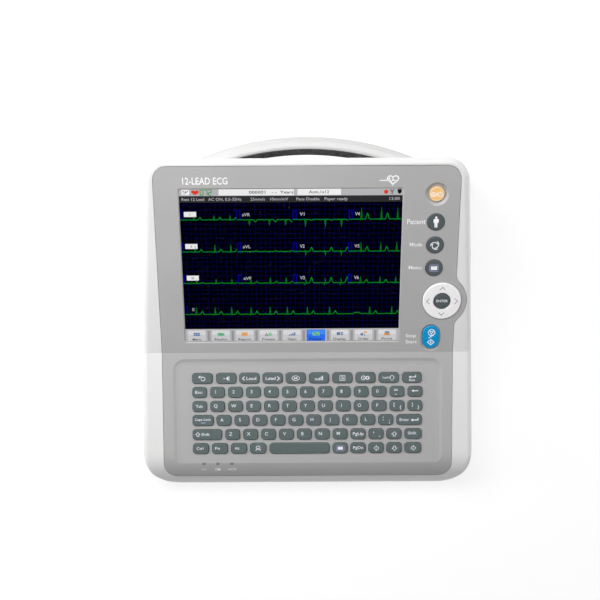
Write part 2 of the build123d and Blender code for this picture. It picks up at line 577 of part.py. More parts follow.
# grip seat: the grip wraps the inner face of the front half shell
GRIP_R1 = HANDLE_R - HANDLE_W + 1.1
grip_out = Pos(0, HANDLE_APEX - HANDLE_W - 1.6 - 262.0, (HANDLE_Z0 + HANDLE_Z1) / 2 - 0.4) * Cylinder(262.0, 24.6)
grip = (arc_band(200, GRIP_R1, 46.8, 70.6) - grip_out) & box(-69, 69, 130, 170, 40, 80)
grip = grip - solid_wall
ge = [e for e in grip.edges() if e.center().Y < 163 and e.length > 90]
front_half -= grip
front_half = Compound(children=[s for s in front_half.solids() if s.volume > 200])
rear_half = Compound(children=[s for s in rear_half.solids() if s.volume > 200])
save("handle_rear_shell", rear_half)
save("handle_front_shell", front_half)
save("handle_grip", Compound(children=[s for s in grip.solids() if s.volume > 200]))

# ----------------------------------------------------------------------------
# rear and side connectors
# ----------------------------------------------------------------------------
inl = box(INLET_X - 13.6, INLET_X + 13.6, 131, 156.0, INLET_Z - 9.8, INLET_Z + 9.8)
inl += box(INLET_X - 15.6, INLET_X + 15.6, 148.2, 149.2, INLET_Z - 10.7, INLET_Z + 9.6)
cav = box(INLET_X - 12.0, INLET_X + 12.0, 135, 160, INLET_Z - 8.0, INLET_Z + 8.0)
inl = inl - cav
for dx, dz in ((-7.0, -2.0), (7.0, -2.0), (0.0, 2.0)):
    inl += box(INLET_X + dx - 1.0, INLET_X + dx + 1.0, 134.5, 149.0, INLET_Z + dz - 2.0, INLET_Z + dz + 2.0)
save("mains_inlet", inl)
prt = box(PORT_X - 21.8, PORT_X + 21.8, 133, 155.2, PORT_Z - 8.0, PORT_Z + 8.0)
rj = box(PORT_X + 5.0, PORT_X + 17.4, 142, 160, PORT_Z - 4.6, PORT_Z + 4.2)
prt -= rj
for dz in (-4.0, 4.0):
    u = box(PORT_X - 17.5, PORT_X - 4.7, 142, 160, PORT_Z + dz - 2.6, PORT_Z + dz + 2.6)
    tongue = box(PORT_X - 16.6, PORT_X - 5.6, 141, 153.6, PORT_Z + dz + 0.2, PORT_Z + dz + 1.9)
    prt = prt - u + tongue
save("usb_lan_ports", prt)
stud = cyl_y(STUD_X, STUD_Z, 154.5, 164.5, 3.0) + cyl_y(STUD_X, STUD_Z, 145, 154.6, 2.8) \
    + cyl_y(STUD_X, STUD_Z, 145, 149.0, 5.5)
save("equipotential_stud", stud)
# 15-way patient-cable connector, sockets facing +X
dsub = box(154.0, 161.0, PC_Y - 12.9, PC_Y + 12.9, PC_Z - 4.7, PC_Z + 4.7)
prof = [(PC_Y - 12.3, PC_Z + 4.15), (PC_Y + 12.3, PC_Z + 4.15), (PC_Y + 11.0, PC_Z - 4.15), (PC_Y - 11.0, PC_Z - 4.15)]
w = Polyline(*[(160.5, a, b) for a, b in prof], close=True)
dsub += extrude(Face(Wire(w.edges())), amount=6.3, dir=(1, 0, 0))
dsub += box(159.6, 160.4, PC_Y - 19.6, PC_Y + 19.6, PC_Z - 6.2, PC_Z + 6.2)
for i in range(8):
    dsub -= cyl_x(PC_Y + (i - 3.5) * 2.77, PC_Z + 1.42, 160.9, 170, 0.55)
for i in range(7):
    dsub -= cyl_x(PC_Y + (i - 3.0) * 2.77, PC_Z - 1.42, 160.9, 170, 0.55)
for s in (-1, 1):
    dsub += cyl_x(PC_Y + s * 16.65, PC_Z, 156, 165.4, 2.5)
    dsub -= cyl_x(PC_Y + s * 16.65, PC_Z, 158, 170, 1.42)
save("patient_connector", dsub)

# ----------------------------------------------------------------------------
# recorder: guide frame, drawer with paper, platen, gear train, motor, print head
# ----------------------------------------------------------------------------
FY0, FY1 = -77.0, 60.0
frame = box(-157, -6, FY0, FY1, 25.3, 26.4)
frame -= box(-158, -118, 51.2, 59.8, 20, 30)
frame -= box(-170, -160, FY0, FY1, 20, 30)
frame += box(-157, -6, FY0, FY0 + 1.2, 5.6, 25.4)
frame += box(-144.8, -6, FY1 - 1.2, FY1, 5.6, 25.4)
for x0, x1 in ((-145, -130), (-30, -15)):
    frame += box(x0, x1, FY0 - 8, FY0 + 0.5, 5.6, 6.8)
IDL_X, IDL_Z = ROLL_X + MOD * (N_PLATEN + N_IDLER) / 2, ROLL_Z
PIN_A = math.radians(70.0)
PIN_C = MOD * (N_IDLER + N_PINION) / 2
PIN_X, PIN_Z = IDL_X + PIN_C * math.cos(PIN_A), IDL_Z + PIN_C * math.sin(PIN_A)
frame += cyl_y(IDL_X, IDL_Z, 52.9, 59.9, 1.5)
frame += cyl_y(IDL_X, IDL_Z, 58.4, 59.9, 2.6)
frame += box(-144.8, -118, FY1 - 1.2, FY1, 25.0, 40.0)
frame -= cyl_y(PIN_X, PIN_Z, 50, 70, 4.9)
save("recorder_frame", frame)

FIT = 0.4
fascia = (outer - in_wall) & box(-175, -150, DR_Y0 + FIT, DR_Y1 - FIT, DR_Z0 + FIT, DR_Z1 - FIT)
tray = box(-163.2, -12, -70, 50, 6.3, 7.7)
tray += box(-158, -12, -70, -67.6, 6.3, 22.4)
tray += box(-158, -12, 47.6, 50, 6.3, 22.4)
tray += box(-14, -12, -70, 50, 6.3, 22.4)
tray += box(-143.4, -142.2, -70, 50, 6.3, 9.2)
tray += box(-164.4, -161.6, -70, 50, 6.3, 12.0) & in_wall
tray += (box(-170, -156, -70, -67.6, 6.3, 20.0) & body(1.0))
tray += (box(-170, -156, 47.6, 50, 6.3, 20.0) & body(1.0))
tray += fascia
tray -= box(-175, -150, -64.0, 44.0, 21.3, 30)            # paper outlet along the top edge
tray -= cyl_y(ROLL_X, ROLL_Z, -75, 55, 1.55)
pull = box(-170, -164.0, -30, 10, 4, 8.4)
tray -= pull
save("paper_drawer", tray)
pack_p = box(-139.5, -16.0, -62, 48 - 6.0, 7.75, 16.6)
save("paper_pack", pack_p)

save("platen_roller", cyl_y(ROLL_X, ROLL_Z, -64.0, 44.0, 5.0) - cyl_y(ROLL_X, ROLL_Z, -70, 50, 1.5))
save("platen_shaft", cyl_y(ROLL_X, ROLL_Z, -69.6, 58.0, 1.5))


def gear(n, x, z, y0, y1, bore, phase, backlash=0.14):
    """Involute spur gear on a Y axis. phase: angle of one tooth's centre, measured from +X towards +Z."""
    rp = MOD * n / 2
    rb = rp * math.cos(math.radians(20))
    ra = rp + MOD * 0.86
    rr = rp - MOD * 1.22
    half = math.pi / (2 * n) - backlash / (2 * rp)
    inv20 = math.tan(math.radians(20)) - math.radians(20)

    def ang(r):
        if r <= rb:
            return half + inv20
        a = math.acos(rb / r)
        return half + inv20 - (math.tan(a) - a)
    rs = [rr, max(rb, rr + 0.02)] + [max(rb, rr + 0.02) + (ra - max(rb, rr + 0.02)) * k / 4 for k in range(1, 5)]
    pts = []
    for i in range(n):
        t = phase + 2 * math.pi * i / n
        for r in rs:
            pts.append((r, t - ang(r)))
        for r in reversed(rs):
            pts.append((r, t + ang(r)))
    P = [(x + r * math.cos(a), y0, z + r * math.sin(a)) for r, a in pts]
    wire = Wire(Polyline(*P, close=True).edges())
    g = extrude(Face(wire), amount=y1 - y0, dir=(0, 1, 0))
    return g - cyl_y(x, z, y0 - 1, y1 + 1, bore)


# one tooth of each driver points at its neighbour, which shows a gap there
ph_platen = 0.0
ph_idler = math.pi + math.pi / N_IDLER
save("platen_gear", gear(N_PLATEN, ROLL_X, ROLL_Z, 53.6, 57.4, 1.5, ph_platen))
save("idler_gear", gear(N_IDLER, IDL_X, IDL_Z, 53.4, 57.6, 1.55, ph_idler)
     + (cyl_y(IDL_X, IDL_Z, 57.6, 58.2, 2.4) - cyl_y(IDL_X, IDL_Z, 50, 60, 1.55)))
# nearest idler tooth to the pinion direction decides the pinion's phase
step = 2 * math.pi / N_IDLER
k = round((PIN_A - ph_idler) / step)
off = (PIN_A - ph_idler) - k * step          # idler tooth centre lies off behind the line of centres
ph_pinion = PIN_A + math.pi + math.pi / N_PINION + off * N_IDLER / N_PINION
pin = gear(N_PINION, PIN_X, PIN_Z, 53.4, 57.6, 1.0, ph_pinion) + cyl_y(PIN_X, PIN_Z, 53.0, 66.0, 1.0)
save("motor_pinion", pin)
motor = box(PIN_X - 14, PIN_X + 14, 62.0, 82.0, PIN_Z - 14, PIN_Z + 14)
me = [e for e in motor.edges() if e.bounding_box().size.Y > 10]
motor = chamfer(me, 2.4)
motor += cyl_y(PIN_X, PIN_Z, 60.6, 62.1, 4.5)
motor -= cyl_y(PIN_X, PIN_Z, 55, 70, 1.06)
save("paper_motor", motor)
head = box(-156.5, -143.6, -63, 43, 19.75, 22.2) + box(-155, -145, -65, 45, 22.2, 25.3)
save("print_head", head)

rel = cyl_x(REL_Y, REL_Z, -164.9, -153.5, 4.1)
te = [e for e in rel.edges() if e.center().X < -164.8]
rel = fillet(te, 0.8)
rel += cyl_x(REL_Y, REL_Z, -161.4, -160.2, 5.6)
rel += box(-160.2, -151.5, REL_Y - 5.4, REL_Y - 1.5, REL_Z - 2, REL_Z + 2)
save("drawer_release", rel)

# ----------------------------------------------------------------------------
# boards, supply, battery, speaker
# ----------------------------------------------------------------------------
mb = box(MB_X0, MB_X1, MB_Y0, MB_Y1, 9.0, 10.6)
mb -= box(134, 149, 30, 60, 8, 12)
for x, y in MBS:
    mb -= cyl(x, y, 8, 12, 1.5)
mb += box(50, 76, -30, -4, 10.6, 12.2)
mb += box(52, 74, -28, -6, 12.2, 17.5)
mb += box(90, 104, -20, -10, 10.6, 11.8)
mb += box(90, 104, 0, 10, 10.6, 11.8)
mb += box(28, 34, -60, 10, 10.6, 14.5)
mb += box(110, 140, -66, -56, 10.6, 16.0)
mb += [cyl(x, 30, 10.6, 19.0, 4.0) for x in (60, 72, 84)]
mb += box(100, 128, 20, 44, 10.6, 14.0)
save("main_board", mb)
ps = box(-143, -55, 86.5, 126, 8.0, 9.6)
for x, y in PSU:
    ps -= cyl(x, y, 7, 11, 1.5)
ps += box(-112, -84, 92, 120, 9.6, 32.0)
ps += [cyl(-126, y, 9.6, 36.0, 6.0) for y in (100, 113)]
ps += [cyl(-72, y, 9.6, 30.0, 5.0) for y in (98, 112)]
ps += box(-82.5, -80, 89, 123, 9.6, 28.0)
save("power_supply", ps)
bat = rbox(BAT_X0 + 0.6, BAT_X1 - 0.6, BAT_Y0 + 0.6, BAT_Y1 - 0.6, 5.6, 25.4, 3.0)
be = [e for e in bat.edges() if abs(e.center().Z - 25.4) < 1e-3]
bat = fillet(be, 1.2)
save("battery_pack", bat)
cover = rbox(BAT_X0 - 3.7, BAT_X1 + 3.7, BAT_Y0 - 3.7, BAT_Y1 + 3.7, 3.0, 4.9, 3.7)
ce = [e for e in cover.edges() if abs(e.center().Z - 3.0) < 1e-3]
cover = chamfer(ce, 0.5)
cover -= [Pos(30, 93 + 3.0 * i, 3.0) * extrude(SlotOverall(22, 1.4), amount=0.7, both=True) for i in range(-2, 3)]
save("battery_cover", cover)
spk = Pos(SPK_X, SPK_Y, 0) * (cyl(0, 0, 5.5, 8.0, 22.0) - cyl(0, 0, 5.0, 7.4, 18.0))
spk += cyl(SPK_X, SPK_Y, 8.0, 14.0, 11.0)
save("speaker", spk)

# ----------------------------------------------------------------------------
# feet and fasteners
# ----------------------------------------------------------------------------
feet = []
for x, y in FEET:
    f = cyl(x, y, 0.0, 4.0, 10.0)
    fe = [e for e in f.edges() if e.center().Z < 0.1]
    feet.append(chamfer(fe, 0.8).solids()[0])
save("rubber_feet", Compound(children=feet))


def screw(x, y, z_head, r_head, h_head, r, length):
    """Pan-head screw, pointing up, cross recess in the head."""
    s = cyl(x, y, z_head, z_head + h_head, r_head) + cyl(x, y, z_head + h_head, z_head + h_head + length, r)
    s -= box(x - 1.9, x + 1.9, y - 0.4, y + 0.4, z_head - 1, z_head + 0.9)
    s -= box(x - 0.4, x + 0.4, y - 1.9, y + 1.9, z_head - 1, z_head + 0.9)
    return s.solids()[0]


save("case_screws", Compound(children=[screw(x, y, 4.8, 2.9, 2.2, 1.48, 26.0) for x, y in SCREWS]))
bs = []
for x, v in boss_scr:
    s = on(SCRP, x, v, Circle(2.4), 10.2, 11.8) + on(SCRP, x, v, Circle(1.23), 5.0, 10.3)
    bs.append(s.solids()[0])
for x, v in boss_btn:
    s = on(SCRP, x, v, Circle(1.9), 11.2, 12.6) + on(SCRP, x, v, Circle(0.98), 5.6, 11.3)
    bs.append(s.solids()[0])
for x, v in boss_key:
    s = on(KEYP, x, v, Circle(1.9), 8.5, 9.9) + on(KEYP, x, v, Circle(0.98), 4.6, 8.6)
    bs.append(s.solids()[0])
save("panel_screws", Compound(children=bs))

n = len(written)
print("nodes", n, "solids", sum(v[0] for v in written.values()))
bb = Compound(children=[s for s in (lower.solids() + upper.solids() + rear_half.solids() + feet)]).bounding_box()
print("box", bb.min, bb.max)
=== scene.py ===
import json
import math

import bmesh
import bpy
from mathutils import Matrix, Vector
from mathutils.bvhtree import BVHTree

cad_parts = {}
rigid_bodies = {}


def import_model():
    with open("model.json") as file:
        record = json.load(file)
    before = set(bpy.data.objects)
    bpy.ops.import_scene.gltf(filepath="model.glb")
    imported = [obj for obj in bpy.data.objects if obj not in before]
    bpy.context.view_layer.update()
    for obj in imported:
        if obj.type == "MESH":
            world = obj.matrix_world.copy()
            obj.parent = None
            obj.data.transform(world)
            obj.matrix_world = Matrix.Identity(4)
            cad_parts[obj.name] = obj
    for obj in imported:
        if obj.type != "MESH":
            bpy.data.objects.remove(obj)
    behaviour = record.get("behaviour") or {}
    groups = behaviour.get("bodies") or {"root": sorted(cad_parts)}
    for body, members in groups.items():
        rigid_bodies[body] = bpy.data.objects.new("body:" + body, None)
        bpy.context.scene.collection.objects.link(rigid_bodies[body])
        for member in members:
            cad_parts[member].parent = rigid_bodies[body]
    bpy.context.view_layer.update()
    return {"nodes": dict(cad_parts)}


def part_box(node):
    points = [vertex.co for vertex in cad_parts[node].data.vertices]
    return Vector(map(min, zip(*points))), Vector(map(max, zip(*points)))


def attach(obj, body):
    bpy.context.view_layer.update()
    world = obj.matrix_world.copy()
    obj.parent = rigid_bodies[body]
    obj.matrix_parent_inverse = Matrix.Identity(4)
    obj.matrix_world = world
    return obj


for _o in list(bpy.data.objects):
    bpy.data.objects.remove(_o)

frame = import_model()
NODES = frame["nodes"]
MM = 0.001

# ----------------------------------------------------------------------------
# camera: straight above the machine, as a product shot
# ----------------------------------------------------------------------------
cam_data = bpy.data.cameras.new("camera")
cam_data.lens = 58.98
cam_data.sensor_width = 36.0
cam = bpy.data.objects.new("camera", cam_data)
cam.location = (-0.00705, 0.01435, 1.028)
cam.rotation_euler = (0.0, 0.0, math.radians(-0.3))
bpy.context.scene.collection.objects.link(cam)
bpy.context.scene.camera = cam
bpy.context.scene.view_settings.view_transform = "Standard"
bpy.context.scene.view_settings.look = "None"


# ----------------------------------------------------------------------------
# materials
# ----------------------------------------------------------------------------
def node_material(name):
    m = bpy.data.materials.new(name)
    m.use_nodes = True
    nt = m.node_tree
    for n in list(nt.nodes):
        nt.nodes.remove(n)
    out = nt.nodes.new("ShaderNodeOutputMaterial")
    sh = nt.nodes.new("ShaderNodeBsdfPrincipled")
    nt.links.new(sh.outputs["BSDF"], out.inputs["Surface"])
    return m, nt, sh


def noise(nt, coord, scale, detail=2.0, rough=0.5):
    n = nt.nodes.new("ShaderNodeTexNoise")
    n.inputs["Scale"].default_value = scale
    n.inputs["Detail"].default_value = detail
    n.inputs["Roughness"].default_value = rough
    nt.links.new(coord.outputs["Object"], n.inputs["Vector"])
    return n


def ramp(nt, fac, a, b, lo=0.35, hi=0.65):
    r = nt.nodes.new("ShaderNodeValToRGB")
    r.color_ramp.elements[0].position = lo
    r.color_ramp.elements[1].position = hi
    r.color_ramp.elements[0].color = (*a, 1.0)
    r.color_ramp.elements[1].color = (*b, 1.0)
    nt.links.new(fac, r.inputs["Fac"])
    return r


def spread(nt, fac, lo, hi):
    m = nt.nodes.new("ShaderNodeMapRange")
    m.inputs["From Min"].default_value = 0.3
    m.inputs["From Max"].default_value = 0.7
    m.inputs["To Min"].default_value = lo
    m.inputs["To Max"].default_value = hi
    nt.links.new(fac, m.inputs["Value"])
    return m


def shade(col, k):
    return tuple(min(1.0, max(0.0, c * k)) for c in col)


def moulded(name, col, rough=0.4, var=0.03, grain=1400.0, depth=0.012, patch=14.0, coat=0.0, spec=0.5,
            metallic=0.0, sheen=0.0):
    """Moulded plastic, rubber or plated metal: faint colour clouding, uneven gloss and a fine moulded grain."""
    m, nt, sh = node_material(name)
    tc = nt.nodes.new("ShaderNodeTexCoord")
    cloud = noise(nt, tc, patch, 3.0)
    col_r = ramp(nt, cloud.outputs["Fac"], shade(col, 1 - var), shade(col, 1 + var))
    nt.links.new(col_r.outputs["Color"], sh.inputs["Base Color"])
    fleck = noise(nt, tc, patch * 9, 2.0)
    ro = spread(nt, fleck.outputs["Fac"], max(0.02, rough - 0.05), rough + 0.05)
    nt.links.new(ro.outputs["Result"], sh.inputs["Roughness"])
    fine = noise(nt, tc, grain, 2.0, 0.6)
    bump = nt.nodes.new("ShaderNodeBump")
    bump.inputs["Strength"].default_value = 0.35
    bump.inputs["Distance"].default_value = depth * MM
    nt.links.new(fine.outputs["Fac"], bump.inputs["Height"])
    nt.links.new(bump.outputs["Normal"], sh.inputs["Normal"])
    sh.inputs["Metallic"].default_value = metallic
    sh.inputs["Specular IOR Level"].default_value = spec
    sh.inputs["Coat Weight"].default_value = coat
    sh.inputs["Coat Roughness"].default_value = 0.12
    sh.inputs["Sheen Weight"].default_value = sheen
    return m


def ribbed(name, col, pitch_mm, rough=0.65):
    """Soft overmould with moulded ribs across the grip."""
    m, nt, sh = node_material(name)
    tc = nt.nodes.new("ShaderNodeTexCoord")
    cloud = noise(nt, tc, 30.0, 3.0)
    c = ramp(nt, cloud.outputs["Fac"], shade(col, 0.8), shade(col, 1.3))
    nt.links.new(c.outputs["Color"], sh.inputs["Base Color"])
    wave = nt.nodes.new("ShaderNodeTexWave")
    wave.wave_type = "BANDS"
    wave.bands_direction = "X"
    wave.inputs["Scale"].default_value = 1000.0 / pitch_mm / 3.0
    wave.inputs["Distortion"].default_value = 0.0
    nt.links.new(tc.outputs["Object"], wave.inputs["Vector"])
    bump = nt.nodes.new("ShaderNodeBump")
    bump.inputs["Strength"].default_value = 0.8
    bump.inputs["Distance"].default_value = 0.0006
    nt.links.new(wave.outputs["Fac"], bump.inputs["Height"])
    nt.links.new(bump.outputs["Normal"], sh.inputs["Normal"])
    sh.inputs["Roughness"].default_value = rough
    sh.inputs["Specular IOR Level"].default_value = 0.35
    return m


def brushed(name, col, rough=0.3):
    """Plated or turned metal with fine lines along X."""
    m, nt, sh = node_material(name)
    tc = nt.nodes.new("ShaderNodeTexCoord")
    mp = nt.nodes.new("ShaderNodeMapping")
    mp.inputs["Scale"].default_value = (40.0, 900.0, 900.0)
    nt.links.new(tc.outputs["Object"], mp.inputs["Vector"])
    n = nt.nodes.new("ShaderNodeTexNoise")
    n.inputs["Scale"].default_value = 1.0
    n.inputs["Detail"].default_value = 3.0
    nt.links.new(mp.outputs["Vector"], n.inputs["Vector"])
    c = ramp(nt, n.outputs["Fac"], shade(col, 0.9), shade(col, 1.08))
    nt.links.new(c.outputs["Color"], sh.inputs["Base Color"])
    ro = spread(nt, n.outputs["Fac"], rough - 0.08, rough + 0.1)
    nt.links.new(ro.outputs["Result"], sh.inputs["Roughness"])
    sh.inputs["Metallic"].default_value = 1.0
    return m


def board(name):
    """Green solder mask with copper tracks showing through as lighter lines."""
    m, nt, sh = node_material(name)
    tc = nt.nodes.new("ShaderNodeTexCoord")
    br = nt.nodes.new("ShaderNodeTexBrick")
    br.inputs["Scale"].default_value = 120.0
    br.inputs["Mortar Size"].default_value = 0.03
    br.inputs["Color1"].default_value = (0.02, 0.15, 0.07, 1)
    br.inputs["Color2"].default_value = (0.025, 0.18, 0.085, 1)
    br.inputs["Mortar"].default_value = (0.07, 0.30, 0.14, 1)
    nt.links.new(tc.outputs["Object"], br.inputs["Vector"])
    nt.links.new(br.outputs["Color"], sh.inputs["Base Color"])
    sh.inputs["Roughness"].default_value = 0.35
    return m


def glass(name):
    """Clear cover glass with an anti-glare coating."""
    m, nt, sh = node_material(name)
    tc = nt.nodes.new("ShaderNodeTexCoord")
    n = noise(nt, tc, 8.0, 2.0)
    c = ramp(nt, n.outputs["Fac"], (0.975, 0.982, 0.99), (0.99, 0.995, 1.0))
    nt.links.new(c.outputs["Color"], sh.inputs["Base Color"])
    sh.inputs["Roughness"].default_value = 0.0
    sh.inputs["Transmission Weight"].default_value = 1.0
    sh.inputs["IOR"].default_value = 1.05
    return m


def printed(name, col, rough=0.5, var=0.05):
    """Screen-printed ink: slightly uneven cover."""
    m, nt, sh = node_material(name)
    tc = nt.nodes.new("ShaderNodeTexCoord")
    n = noise(nt, tc, 260.0, 2.0)
    c = ramp(nt, n.outputs["Fac"], shade(col, 1 - var), shade(col, 1 + var * 0.5))
    nt.links.new(c.outputs["Color"], sh.inputs["Base Color"])
    sh.inputs["Roughness"].default_value = rough
    return m


def lit(name, col, strength=1.0, fall=0.06):
    """A lit area of the display: backlight that falls off a little, over a black panel."""
    m, nt, sh = node_material(name)
    tc = nt.nodes.new("ShaderNodeTexCoord")
    n = noise(nt, tc, 9.0, 1.0)
    c = ramp(nt, n.outputs["Fac"], shade(col, 1 - fall), shade(col, 1 + fall * 0.4), 0.3, 0.7)
    nt.links.new(c.outputs["Color"], sh.inputs["Emission Color"])
    sh.inputs["Emission Strength"].default_value = strength
    sh.inputs["Base Color"].default_value = (0.002, 0.002, 0.003, 1.0)
    sh.inputs["Roughness"].default_value = 0.6
    sh.inputs["Specular IOR Level"].default_value = 0.0
    return m


WHITE = (0.775, 0.775, 0.772)
GREY = (0.432, 0.426, 0.426)
SLATE = (0.088, 0.106, 0.114)
KEY = (0.108, 0.138, 0.138)

SLOT_MATERIAL = {
    "case_white": moulded("case_white_abs", WHITE, 0.34, 0.012, 1600, 0.008),
    "panel_grey": moulded("panel_grey_abs", GREY, 0.48, 0.02, 1500, 0.02),
    "grip_black": ribbed("grip_black_tpe", (0.018, 0.018, 0.019), 3.0),
    "key_grey": moulded("key_grey_silk", KEY, 0.50, 0.04, 1700, 0.012, 60.0, spec=0.35),
    "button_slate": moulded("button_slate", SLATE, 0.42, 0.04, 1700, 0.010, 60.0, spec=0.4),
    "ring_white": moulded("ring_pearl", (0.95, 0.935, 0.945), 0.30, 0.015, 1200, 0.004, 40.0, coat=0.3),
    "power_orange": moulded("power_orange", (0.97, 0.58, 0.215), 0.35, 0.03, 1200, 0.004, 80.0, coat=0.3),
    "start_blue": moulded("start_blue", (0.0, 0.315, 0.66), 0.30, 0.04, 1200, 0.004, 60.0, coat=0.4),
    "cover_glass": glass("cover_glass_ar"),
    "display_black": moulded("display_black", (0.0012, 0.0012, 0.002), 0.7, 0.1, 800, 0.002, 30.0, spec=0.0),
    "board_green": board("board_green"),
    "sheet_steel": brushed("sheet_steel", (0.60, 0.60, 0.59), 0.32),
    "port_metal": brushed("port_nickel", (0.62, 0.61, 0.60), 0.25),
    "connector_black": moulded("connector_black", (0.022, 0.022, 0.023), 0.45, 0.1, 1300, 0.01, 50.0),
    "brass_stud": brushed("stud_brass", (0.72, 0.53, 0.22), 0.25),
    "foot_rubber": moulded("foot_rubber", (0.035, 0.035, 0.036), 0.8, 0.15, 900, 0.03, 60.0, spec=0.2, sheen=0.1),
    "mat_silicone": moulded("mat_silicone", (0.36, 0.36, 0.355), 0.7, 0.05, 700, 0.01, 40.0, spec=0.25),
    "gear_nylon": moulded("gear_nylon", (0.74, 0.73, 0.66), 0.45, 0.03, 900, 0.006, 50.0),
    "motor_metal": moulded("motor_can", (0.20, 0.20, 0.21), 0.35, 0.06, 900, 0.004, 40.0, metallic=0.9),
    "head_black": moulded("head_black", (0.045, 0.045, 0.045), 0.5, 0.1, 900, 0.01, 50.0),
    "battery_wrap": moulded("battery_wrap", (0.05, 0.07, 0.17), 0.30, 0.08, 300, 0.01, 30.0, coat=0.2),
    "release_grey": moulded("release_grey", (0.27, 0.27, 0.27), 0.45, 0.04, 1400, 0.012, 50.0),
    "thermal_paper": moulded("thermal_paper", (0.86, 0.84, 0.82), 0.85, 0.03, 600, 0.006, 60.0, spec=0.1),
    "light_lens": moulded("light_lens", (0.22, 0.29, 0.34), 0.18, 0.06, 900, 0.002, 50.0, coat=0.5),
}
for name, obj in NODES.items():
    old = obj.data.materials[0].name.split(".")[0] if obj.data.materials else "case_white"
    obj.data.materials[0] = SLOT_MATERIAL[old]

# painted shade: the handle is the same white plastic as the case, given a darker white so it renders dimmer where the
# lights fall on it more strongly
HANDLE_WHITE_PAINTED_SHADE = moulded("handle_white_abs_painted_shade", (0.60, 0.60, 0.597), 0.36, 0.012, 1600, 0.008)
for name in ("handle_rear_shell", "handle_front_shell"):
    NODES[name].data.materials[0] = HANDLE_WHITE_PAINTED_SHADE

INK_WHITE = printed("ink_white", (0.95, 0.95, 0.97))
INK_KEY = printed("ink_key_white", (0.84, 0.84, 0.92))
INK_GREY = printed("ink_grey", (0.25, 0.235, 0.27))
INK_BLUE = printed("ink_lamp_blue", (0.25, 0.33, 0.48))
INK_LILAC = printed("ink_lilac", (0.34, 0.35, 0.60))
INK_DARK = printed("ink_dark", (0.05, 0.05, 0.055))
LABEL = printed("label_foil", (0.62, 0.62, 0.61), 0.35)


# ----------------------------------------------------------------------------
# sloped planes of the front face, through the line where they meet
# ----------------------------------------------------------------------------
CREASE = Vector((0.0, -37.92, 47.907))


def sloped(tilt, depth=0.0, x=0.0, v=0.0):
    """Matrix from plane millimetres (x, v, height) to the row frame in metres."""
    a = math.radians(tilt)
    ex, ev, en = Vector((1, 0, 0)), Vector((0, math.cos(a), math.sin(a))), Vector((0, -math.sin(a), math.cos(a)))
    o = CREASE + ex * x + ev * v - en * depth
    rot = Matrix((ex, ev, en)).transposed().to_4x4()
    return Matrix.Scale(MM, 4) @ Matrix.Translation(o) @ rot


def kv(y):
    return (y + 37.92) / math.cos(math.radians(5))


def sv(y):
    return (y + 37.92) / math.cos(math.radians(20))


def centre(node):
    lo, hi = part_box(node)
    return (lo + hi) / 2 / MM


_trees = {}


def surface(node, start, direction, up):
    """Matrix with its origin where a ray meets the node, its z along the surface normal and its y near up."""
    if node not in _trees:
        me = NODES[node].data
        _trees[node] = BVHTree.FromPolygons([v.co.copy() for v in me.vertices], [tuple(p.vertices) for p in me.polygons])
    hit, nrm, _i, _d = _trees[node].ray_cast(Vector(start) * MM, Vector(direction).normalized())
    if hit is None:
        raise RuntimeError("no surface of " + node + " there")
    if nrm.dot(Vector(direction)) > 0:
        nrm = -nrm
    ez = nrm.normalized()
    ey = (Vector(up) - ez * Vector(up).dot(ez)).normalized()
    ex = ey.cross(ez)
    rot = Matrix((ex, ey, ez)).transposed().to_4x4()
    return Matrix.Translation(hit) @ rot @ Matrix.Scale(MM, 4)


# ----------------------------------------------------------------------------
# printed and displayed artwork: thin solids cut to the shape of the ink
# ----------------------------------------------------------------------------
_font = bpy.data.curves.new("lettering", "FONT")
_font_obj = bpy.data.objects.new("lettering", _font)
bpy.context.scene.collection.objects.link(_font_obj)
CAP = 0.682


def glyphs(text, cap, bold, spacing):
    _font.body = text
    _font.size = cap / CAP
    _font.resolution_u = 3
    _font.offset = bold
    _font.space_character = spacing
    _font.fill_mode = "FRONT"
    bpy.context.view_layer.update()
    me = bpy.data.meshes.new_from_object(_font_obj)
    pts = [(v.co.x, v.co.y) for v in me.vertices]
    faces = [tuple(p.vertices) for p in me.polygons]
    bpy.data.meshes.remove(me)
    return pts, faces


